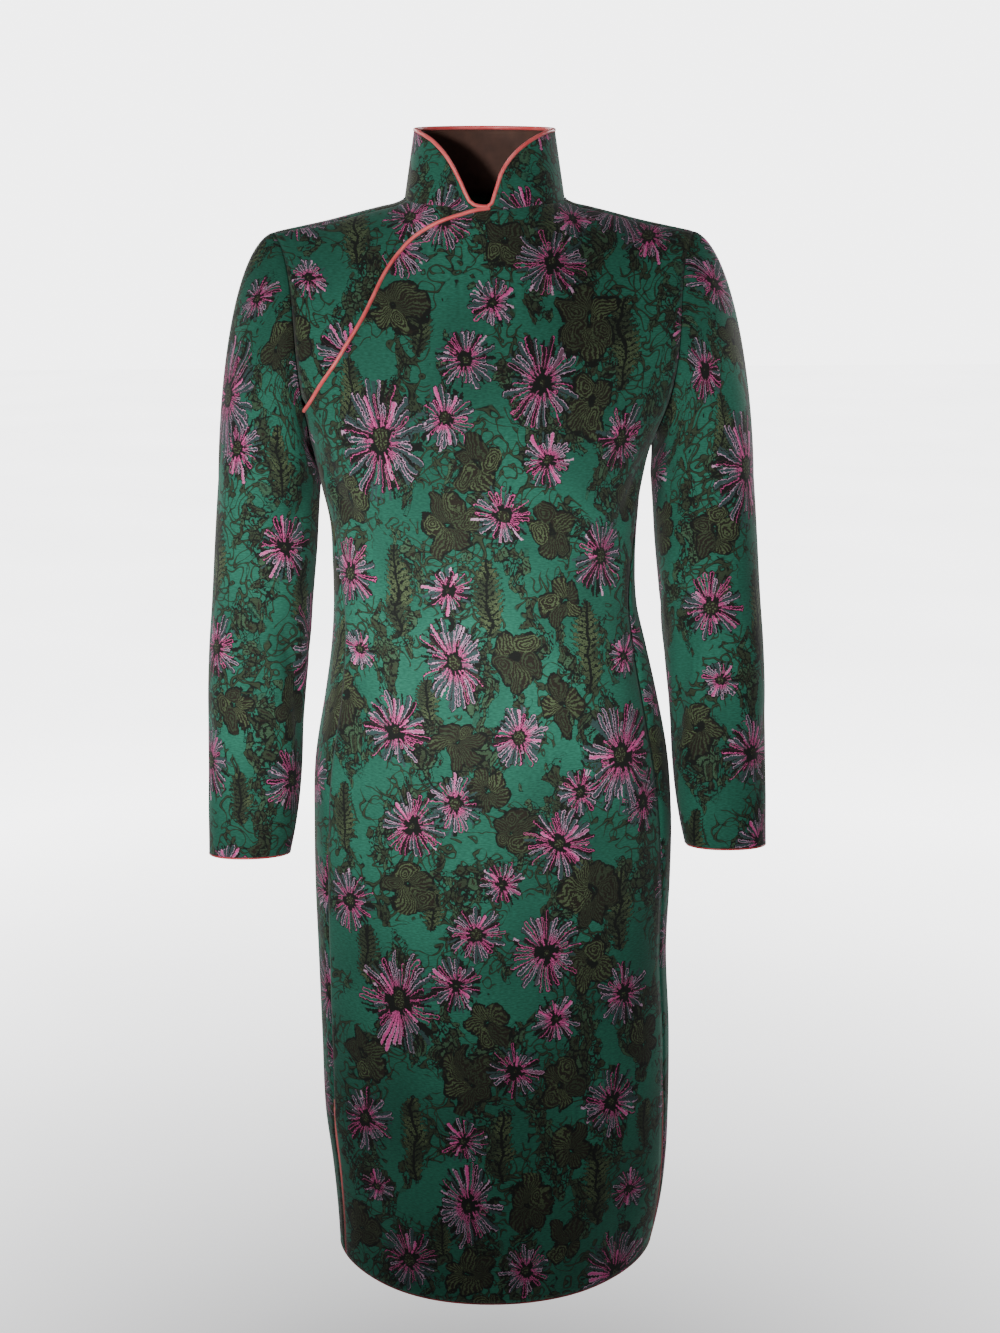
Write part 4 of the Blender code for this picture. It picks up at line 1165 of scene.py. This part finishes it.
class Motif:
    """What a motif is painted from: the colour under it, the point's place in it in radii with the weave's
    jagged edge, how far it is shown, its seed, count and radius in metres, and the wander of its lines."""

    def __init__(self, wire, given):
        self.under, place, kind, self.jag, self.wander = given
        x, y, cover = wire.split(place)
        seed, count, self.radius = wire.split(kind)
        self.place = wire.vector("ADD", wire.join(x, y), wire.scaled(self.jag, 1.0 / self.radius))
        self.shown = wire.ramp(cover, 0.0, 0.02)
        self.seed = wire.math("ROUND", seed * 8.0) * 0.125
        self.count = wire.math("ROUND", count)
        self.wander_x, self.wander_y, self.fine = wire.split(self.wander)


def motif_group(name, paint):
    """A node group that paints one kind of motif over the colour under it."""
    tree = bpy.data.node_groups.new(name, "ShaderNodeTree")
    for label, kind in MOTIF_INPUTS.items():
        tree.interface.new_socket(name=label, in_out="INPUT", socket_type="NodeSocket" + kind)
    tree.interface.new_socket(name="Colour", in_out="OUTPUT", socket_type="NodeSocketColor")
    wire = Wiring(tree)
    start = tree.nodes.new("NodeGroupInput")
    motif = Motif(wire, [Signal(wire, start.outputs[label]) for label in MOTIF_INPUTS])
    wire.link(paint(wire, motif), tree.nodes.new("NodeGroupOutput").inputs["Colour"])
    return tree


def paint_rays(wire, motif, far, turn):
    """Short rays of ink, slate and a little lilac round a bloom's middle."""
    rays = motif.count * RAYS_A_PETAL
    ray_long, tone, _ = wire.lots(wire.whole(turn * rays, rays), motif.seed + 40.0)
    shown = wire.ramp(wire.between(ray_long, RAY_REACH) - far, 0.0, 0.02) * motif.shown
    colour = wire.pick(tone, 0.60, INK, SLATE)
    return wire.mix(shown, motif.under, wire.pick(tone, 0.94, colour, LILAC))


def paint_bloom(wire, motif):
    """Paints a spiky bloom. Short rays of ink and slate fill its middle. A petal is a bar with a round end
    along its own angle, as long as its lot says: mostly slate inside, with an inked outline, and a pink or
    pale line along one side of it, or along both and round the tip. The heart is dark and speckled."""
    far, turn = wire.polar(motif.place)
    turn = motif.wander_x * 0.060 + turn
    colour = paint_rays(wire, motif, far, turn)

    count = turn * motif.count + motif.seed
    one, two, three = wire.lots(wire.whole(count, motif.count), motif.seed)
    # Two more chances out of the first three.
    four = wire.math("FRACT", three * 31.0)
    five = wire.math("FRACT", two * 23.0)
    lean = (four - 0.5) * PETAL_LEAN + 0.5
    across = (wire.math("FRACT", count) - lean) * (2 * math.pi) * (far / motif.count) * motif.radius
    long = wire.between(wire.math("POWER", one, 0.7), PETAL_REACH)
    wide = wire.between(two, PETAL_HALF_WIDTHS) * wire.ramp(far / long, *PETAL_TAPER)
    pitch = far * motif.radius * (2 * math.pi) / motif.count
    wide = wire.math("MINIMUM", wide, pitch * PETAL_ROOM)
    past = wire.math("MAXIMUM", (far - long) * motif.radius + wide, 0.0)
    inside = wide - wire.length(wire.join(across, past))
    petal = wire.crisp(inside) * motif.shown
    petal = petal * wire.ramp(far - five * PETAL_START_SPREAD, *PETAL_START)
    outline = wire.crisp(inside, -PETAL_INK) * motif.shown
    kept_side = across * wire.ramp(three, 0.49, 0.51, -1.0, 1.0)
    dropped = wire.ramp(kept_side, CRISP, -CRISP) * wire.ramp(four, 0.36, 0.38)
    core = wire.math("MAXIMUM", wire.crisp(inside, PETAL_LINE), dropped) * petal

    line_colour = wire.pick(five, 0.60, LILAC, HOT_PINK)
    line_colour = wire.blend(far, 0.46, 0.34, line_colour, HOT_PINK)
    core_colour = wire.pick(five, 0.05, HOT_PINK, SLATE)
    core_colour = wire.pick(five, 0.58, core_colour, INK)
    core_colour = wire.pick(five, 0.78, core_colour, motif.under)
    for share, thread in ((outline, INK), (petal, line_colour), (core, core_colour)):
        colour = wire.mix(share, colour, thread)

    speck = wire.ramp(wire.split(motif.jag)[0], 0.0001, 0.0003)
    heart = motif.wander_y * 0.30 + (motif.wander_x * 0.25 + far)
    colour = wire.mix(wire.ramp(heart, *HEART_EDGE) * motif.shown, colour, INK)
    return wire.mix(wire.ramp(heart, *SPECK_EDGE) * motif.shown, colour, wire.mix(speck, BARK, OLIVE))


def paint_rose(wire, motif):
    """Paints a rose of oval petals round its middle. Each petal has its own size and tone, an inked edge, and
    hatching of brown ribs that fan out from the middle, or of rings."""
    place = wire.vector("ADD", motif.place, wire.vector("MULTIPLY", motif.wander, (1.1, 1.1, 0.0)))
    far, turn = wire.polar(place)
    count = turn * motif.count + motif.seed
    one, two, three = wire.lots(wire.whole(count, motif.count), motif.seed)
    off = (wire.math("FRACT", count) - 0.5) * (2 * math.pi) / motif.count
    aside = wire.math("SINE", off) * far
    ahead = wire.math("COSINE", off) * far
    size = one * 0.30 + 0.82
    room = wire.math("TANGENT", wire.math("DIVIDE", math.pi, motif.count)) * 0.60
    across = aside / wire.math("MINIMUM", room, 0.42) / size
    along = (ahead - ROSE_MIDDLE) / ROSE_MIDDLE / size
    ring = wire.length(wire.join(across, along))
    ribs = wire.math("ARCTAN2", aside, ahead + 0.10) * motif.radius * (0.62 / HATCH_PITCH)
    rings = across * 0.5 + ring * motif.radius * (0.44 / HATCH_PITCH)
    ringed = wire.ramp(two, 0.62, 0.64)
    hatch = wire.add("ShaderNodeMix", {0: ringed, 2: ribs, 3: rings}, data_type="FLOAT")
    hatch = motif.fine * 1.1 + (motif.wander_x * 2.5 + hatch)
    tone = wire.blend(motif.wander_y * 1.2 + three, 0.25, 0.75, OLIVE, DARK_OLIVE)
    tone = wire.blend(wire.ping(hatch, 1.0), *HATCH_LINE, tone, BARK)
    tone = wire.blend(motif.fine * 0.6 + ring, 0.80, 0.86, tone, INK)
    tone = wire.blend(motif.wander_y * 0.5 + far, 0.12, 0.09, tone, INK)
    return wire.mix(wire.ramp(ring, 1.01, 0.99) * motif.shown, motif.under, tone)


def paint_spray(wire, motif):
    """Paints an upright spray: pairs of pointed leaves climb a stem, olive on ink, each with a bark vein."""
    x, y, _ = wire.split(motif.place)
    aside = wire.math("ABSOLUTE", motif.wander_x * 1.2 + x)
    climb = motif.wander_y * 3.0 + (y * motif.count - aside * 2.0)
    leaf = wire.ping(motif.fine * 0.8 + climb, 1.0)
    room = wire.math("SQRT", wire.math("MAXIMUM", 1.0 - y * y, 0.0))
    inside = room * (leaf + 0.45) - aside
    tone = wire.blend(motif.wander_x + motif.wander_y, -0.10, 0.10, OLIVE, DARK_OLIVE)
    tone = wire.blend(leaf, 0.22, 0.14, tone, INK)
    tone = wire.blend(leaf, 0.44, 0.47, tone, BARK)
    tone = wire.blend(inside, 0.12, 0.05, tone, INK)
    tone = wire.blend(aside, 0.10, 0.06, tone, INK)
    return wire.mix(wire.ramp(inside, -0.02, 0.0) * motif.shown, motif.under, tone)


def foliage(wire, place, jag, wander, colour):
    """Paints ragged upright clumps of small leaves. Bent cells, taller than wide, are the leaves, and those
    whose middle lies where soft noise, drawn out upwards, is high are shown: moss, olive or bare ground, with
    a bark middle and edged with ink."""
    start = wire.vector("ADD", place, wire.vector("MULTIPLY", jag, (1.2, 1.2, 0.0)))
    start = wire.vector("ADD", start, wire.vector("MULTIPLY", wander, (0.030, 0.030, 0.0)))
    cells = {"Vector": wire.vector("MULTIPLY", start, LEAF_STRETCH), "Scale": LEAVES}
    split, leaf = (
        wire.add("ShaderNodeTexVoronoi", cells, feature=feature, voronoi_dimensions="2D")
        for feature in ("DISTANCE_TO_EDGE", "F1")
    )
    lot, other, third = wire.split(leaf.sibling("Color"))
    clump = wire.noise(wire.vector("MULTIPLY", leaf.sibling("Position"), CLUMP_STRETCH), 1.0, 1.5)
    clump = (lot - 0.5) * 0.05 + clump
    tone = wire.blend(other, 0.45, 0.65, DARK_OLIVE, MOSS)
    tone = wire.pick(third, 0.66, tone, colour)
    tone = wire.blend(leaf, 0.24, 0.18, tone, BARK)
    tone = wire.blend(split, 0.14, 0.09, tone, INK)
    return wire.blend(clump, *CLUMP_EDGE, colour, tone)


def tendrils(wire, place, colour):
    """Paints curling stems: broken contour lines of smooth twisted noise, olive inside and ink outside."""
    part = wire.noise(place, 17.0, 0.0)
    for scale, level, thick, low in TENDRILS:
        vine = wire.noise(wire.vector("ADD", place, (scale, level * 10, 0.0)), scale, 0.0, TENDRIL_TWIST)
        line = wire.math("ABSOLUTE", vine - level)
        shown = wire.ramp(part, low, low + 0.02)
        for outer, inner, thread in ((1.0, 0.75, INK), (0.55, 0.35, DARK_OLIVE)):
            colour = wire.mix(wire.ramp(line, thick * outer, thick * inner) * shown, colour, thread)
    return colour


def new_material(name, roughness, sheen=0.0, sheen_roughness=0.5):
    """A material with its shader, and wiring for its tree."""
    material = bpy.data.materials.new(name)
    material.use_nodes = True
    shader = material.node_tree.nodes["Principled BSDF"]
    shader.inputs["Roughness"].default_value = roughness
    shader.inputs["Sheen Weight"].default_value = sheen
    shader.inputs["Sheen Roughness"].default_value = sheen_roughness
    return material, shader, Wiring(material.node_tree)


def finish_face(wire, shader, colour, tone, relief, strength, depth):
    """Gives the shader a colour made lighter or darker by its tone, and a bump of this depth in metres."""
    wire.link(wire.scaled(colour, tone), shader.inputs["Base Color"])
    bump = wire.add("ShaderNodeBump", {"Height": relief, "Strength": strength, "Distance": depth})
    wire.link(bump, shader.inputs["Normal"])


def weave(wire, place, across_count, up_count):
    """Height of a woven face: fine ribs across the cloth, broken along their length by the warp."""
    x, y, _ = wire.split(place)
    return wire.ping(x, across_count) * 0.5 + wire.ping(y, up_count)


def jacquard(name, groups, dull=False):
    """Flowered jacquard: teal ground with ink tendrils and clumps of foliage, then sprays, roses and blooms
    painted over it from their places on the cloth, under a fine ribbed weave with uneven threads. The wrong
    side is dull and has no blooms."""
    material, shader, wire = new_material(name, 0.82, 0.10)
    place = wire.add("ShaderNodeUVMap", uv_map="cloth")
    jag = wire.vector("SUBTRACT", wire.noise(place, JAG_SCALE, 0.0, output=1), (0.5, 0.5, 0.5))
    jag = wire.vector("MULTIPLY", jag, (JAG_REACH, JAG_REACH, 0.0))
    wander = wire.vector("SUBTRACT", wire.noise(place, WANDER_SCALE, 1.0, output=1), (0.5, 0.5, 0.5))
    wander_x, wander_y, _ = wire.split(wander)
    wander = wire.join(wander_x, wander_y, wire.noise(place, FINE_WANDER_SCALE, 1.0) - 0.5)
    colour = wire.blend(wire.noise(place, GROUND_SCALE, 1.0), 0.35, 0.65, DEEP_TEAL, TEAL)
    colour = tendrils(wire, place, colour)
    colour = foliage(wire, place, jag, wander, colour)
    if dull:
        colour = wire.mix(0.45, colour, DARK_OLIVE)
    for label, group in () if dull else groups.items():
        for layer in reversed(range(max(share_out(CHARTS[label])) + 1)):
            inputs = {"Under": colour, "Jag": jag, "Wander": wander}
            for tail in ("place", "kind"):
                attribute = {"attribute_name": f"{label}_{layer}_{tail}"}
                inputs[tail.capitalize()] = wire.add("ShaderNodeAttribute", (), "Vector", **attribute)
            colour = wire.add("ShaderNodeGroup", inputs, "Colour", node_tree=group)
    ribs = weave(wire, place, *JACQUARD_RIBS)
    grain = wire.noise(wire.vector("MULTIPLY", place, (260.0, 900.0, 1.0)), 1.0, 1.0)
    tone = wire.ramp(ribs, 0.0, 0.7, 0.82, 1.10) * wire.ramp(grain, 0.3, 0.7, 0.74, 1.24)
    finish_face(wire, shader, colour, tone, ribs, 0.35, 0.0004)
    shader.inputs["Specular IOR Level"].default_value = 0.25
    return material


def satin(name, colour_light, colour_deep, colour_unshaded=None):
    """Bias-cut satin on a cord: fine slanted threads, a little uneven in tone, with a soft shine. For the
    cuffs' and hem's cords the colours given are coral in painted shade; up the slit on the wearer's right the
    hem's cord turns to its own coral."""
    material, shader, wire = new_material(name, 0.38, 0.15, 0.4)
    place = wire.add("ShaderNodeUVMap", uv_map="cloth")
    x, y, _ = wire.split(place)
    slant = wire.ping(x + y, SATIN_THREADS)
    colour = wire.blend(wire.noise(place, 60.0, 2.0), 0.35, 0.65, colour_deep, colour_light)
    # Painted shade: the cord keeps the darker given colours except up the slit on the wearer's right, where
    # it turns to its own coral.
    if colour_unshaded:
        x, _, z = wire.split(wire.add("ShaderNodeTexCoord", output="Object"))
        share = wire.ramp(z, *UNSHADED_SATIN_Z) * wire.ramp(x, *UNSHADED_SATIN_X)
        colour = wire.mix(share, colour, colour_unshaded)
    finish_face(wire, shader, colour, wire.ramp(slant, 0.0, 0.5, 0.88, 1.06), slant, 0.25, 0.0003)
    return material


def facing(name):
    """Plain brown facing cloth inside the collar, with a fine weave."""
    material, shader, wire = new_material(name, 0.8)
    place = wire.add("ShaderNodeUVMap", uv_map="cloth")
    tone = wire.ramp(wire.noise(place, 80.0, 2.0), 0.3, 0.7, 0.85, 1.2)
    finish_face(wire, shader, FACING_BROWN, tone, weave(wire, place, *FACING_RIBS), 0.3, 0.0003)
    return material


# ---------------------------------------------------------------- the dress


def finish(piece, node):
    """The piece stands for its solid and moves with the dress."""
    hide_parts(node)
    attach(piece, "root")
    return piece


painters = {"spray": paint_spray, "rose": paint_rose, "bloom": paint_bloom}
motif_groups = {label: motif_group(label, paint) for label, paint in painters.items()}
cloth = jacquard("flowered_jacquard", motif_groups)
wrong_side = jacquard("jacquard_wrong_side", motif_groups, dull=True)
collar_facing = facing("collar_facing")
coral_satin = satin("coral_satin", CORAL, DEEP_CORAL)
# The cuffs' cord is coral in painted shade.
cuff_satin = satin("cuff_satin", SHADED_CORAL, DEEP_CORAL)
# The hem's cord is coral in painted shade, except up the slit on the wearer's right, where it shows its own
# coral.
hem_satin = satin("hem_satin", SHADED_CORAL, DEEP_SHADED_CORAL, CORAL)

# Each sheet's points and lengths, where it lies in the cloth's repeat, and its cut's width, length and area.
SHEETS = {
    "front_panel": (front_panel(), (0.0, 0.0), (0.42, 1.10, 0.36)),
    "back_panel": (back_panel(), (0.11, 0.06), (0.54, 1.14, 0.51)),
    "under_lap": (under_lap(), (0.03, 0.19), (0.20, 0.20, 0.022)),
    "sleeve_right": (sleeve(-1), (0.09, 0.20), (0.40, 0.62, 0.165)),
    "sleeve_left": (sleeve(1), (-0.05, 0.04), (0.40, 0.62, 0.165)),
    "collar": (collar(), (0.02, -0.1), (0.40, 0.066, 0.0185)),
}
for name, ((points, lengths), offset, (width, length, area)) in SHEETS.items():
    wall, inside = (COLLAR_WALL, collar_facing) if name == "collar" else (WALL, wrong_side)
    looped = name.startswith("sleeve")
    piece = add_cloth("shaped_" + name, points, lengths, offset, wall, cloth, inside, looped)
    finish(piece, name)


def add_piping(name, edge, normals, radius, sink, material, closed=False):
    """Piping along an edge, close against it."""
    path = beside(edge, normals, radius * 0.85, sink, closed)
    finish(add_tube("satin_" + name, path, normals, radius, material, closed), name)


collar_points = SHEETS["collar"][0][0]
collar_normals = grid_normals(collar_points)[-1]
add_piping("collar_piping", collar_points[-1], collar_normals, BROAD_PIPING, COLLAR_WALL / 2, coral_satin)

# The placket's piping runs from the armpit to one column past the centre front, and starts half a step in.
front_points = SHEETS["front_panel"][0][0]
beside_placket = slice(PLACKET_COLUMNS + 1, None, -1)
placket_line = front_points[0, beside_placket]
placket_line = np.concatenate([(placket_line[:1] + placket_line[1:2]) / 2, placket_line[1:]])
placket_normals = grid_normals(front_points)[1, beside_placket]
add_piping("placket_piping", placket_line, placket_normals, BROAD_PIPING, -0.0002, coral_satin)

for side in ("right", "left"):
    points = SHEETS["sleeve_" + side][0][0]
    cuff = points[-1, :-1]
    normals = ring_normals(points)[-1, :-1]
    add_piping("cuff_piping_" + side, cuff, normals, THIN_PIPING, WALL / 2, cuff_satin, closed=True)


def round_hem(grid, start):
    """The edge of a panel's grid: down one side from a row, along the hem and up the other side."""
    return np.concatenate([grid[start:, 0], grid[-1, 1:-1], grid[start:, -1][::-1]])


for side in ("front", "back"):
    points = SHEETS[side + "_panel"][0][0]
    start = int(np.argmax(points[:, points.shape[1] // 2, 2] < SLIT_PIPING_Z))
    normals = round_hem(grid_normals(points), start)
    add_piping("hem_piping_" + side, round_hem(points, start), normals, THIN_PIPING, WALL / 2, hem_satin)

# ---------------------------------------------------------------- floor, lights and camera

FLOOR_Z = -1.30
FLOOR_COLOUR = (0.86, 0.86, 0.87)
FLOOR_EDGES = (-9.0, 9.0, -7.0, 11.0)
# Distances from the middle of the floor, and the floor's own light there.
FLOOR_SHADE = (0.2, 2.4, 0.0, 5.0)
# The world's colour, and its strength as light on the dress and as a backdrop.
WORLD_COLOUR = (0.87, 0.87, 0.88, 1.0)
ROOM_LIGHT = 0.15
BACKDROP_LIGHT = 5.4
# Spot lights: place, the point that each faces, its full angle in degrees and its power in watts.
SPOTS = {
    "waist_light": ((-0.5, -2.3, -0.30), (-0.02, 0.0, -0.52), 26.0, 96.0),
    "middle_light": ((-0.1, -2.3, -0.55), (0.00, 0.0, -0.365), 15.0, 190.0),
    "left_light": ((-1.6, -1.9, -0.10), (-0.24, 0.0, -0.34), 24.0, 205.0),
    "upper_light": ((-0.9, -2.3, 0.20), (-0.03, 0.0, 0.10), 11.0, 190.0),
    "right_light": ((0.9, -2.3, 0.20), (0.25, 0.0, -0.14), 8.0, 125.0),
}
# A spot's lamp grows with its angle, in metres for each degree.
LAMP_A_DEGREE = 0.01
# Square lights behind the dress: place; and the point that they face, their size and their power.
BACK_LIGHTS = {"back_right_light": (1.9, 1.9, 0.4), "back_left_light": (-1.5, 2.3, 0.6)}
BACK_AIM = (0.0, 0.0, -0.45)
BACK_SIZE = 1.3
BACK_POWER = 46.0
CAMERA_PLACE = (-0.1057, -2.0172, 0.060)
CAMERA_TURN = (76.3, 0.0, -3.39)
CAMERA_LENS = 59.41
CAMERA_SENSOR = 36.0


def pale_paint(name, colour):
    """A matt paint, a little uneven in tone, lit from within for the camera alone, as a lit studio sweep is,
    and less so in the middle of the floor."""
    material, shader, wire = new_material(name, 0.9)
    place = wire.add("ShaderNodeTexCoord", output="Object")
    tone = wire.scaled(colour, wire.ramp(wire.noise(place, 1.5, 2.0), 0.3, 0.7, 0.97, 1.03))
    wire.link(tone, shader.inputs["Base Color"])
    wire.link(tone, shader.inputs["Emission Color"])
    away = wire.length(wire.vector("MULTIPLY", place, (1.0, 1.0, 0.0)))
    seen = wire.add("ShaderNodeLightPath", output="Is Camera Ray") * wire.ramp(away, *FLOOR_SHADE)
    wire.link(seen, shader.inputs["Emission Strength"])
    return material


def add_light(name, kind, place, aim, power):
    """A light of a kind at a place, facing a point."""
    light = bpy.data.lights.new(name, kind)
    light.energy = power
    holder = add_object(name, light)
    x, y, z = np.array(aim) - np.array(place)
    holder.location = place
    holder.rotation_euler = (math.atan2(math.hypot(x, y), -z), 0.0, math.atan2(-x, y))
    return light


west, east, south, north = FLOOR_EDGES
corners = np.array([(x, y, FLOOR_Z) for x, y in ((west, south), (east, south), (east, north), (west, north))])
floor = add_mesh("floor", corners, np.array([[0, 1, 2, 3]]), [pale_paint("pale_floor", FLOOR_COLOUR)])

# Each spot fades all the way to its edge.
for name, (place, aim, angle, power) in SPOTS.items():
    spot = add_light(name, "SPOT", place, aim, power)
    spot.spot_size = math.radians(angle)
    spot.spot_blend = 1.0
    spot.shadow_soft_size = LAMP_A_DEGREE * angle
for name, place in BACK_LIGHTS.items():
    add_light(name, "AREA", place, BACK_AIM, BACK_POWER).size = BACK_SIZE

world = bpy.data.worlds.new("room")
world.use_nodes = True
sky = world.node_tree.nodes["Background"]
sky.inputs["Color"].default_value = WORLD_COLOUR
wire = Wiring(world.node_tree)
seen = wire.add("ShaderNodeLightPath", output="Is Camera Ray")
wire.link(wire.ramp(seen, 0.0, 1.0, ROOM_LIGHT, BACKDROP_LIGHT), sky.inputs["Strength"])
bpy.context.scene.world = world

lens = bpy.data.cameras.new("camera")
lens.sensor_width = CAMERA_SENSOR
lens.lens = CAMERA_LENS
camera = add_object("camera", lens)
camera.location = CAMERA_PLACE
camera.rotation_euler = [math.radians(angle) for angle in CAMERA_TURN]
bpy.context.scene.camera = camera
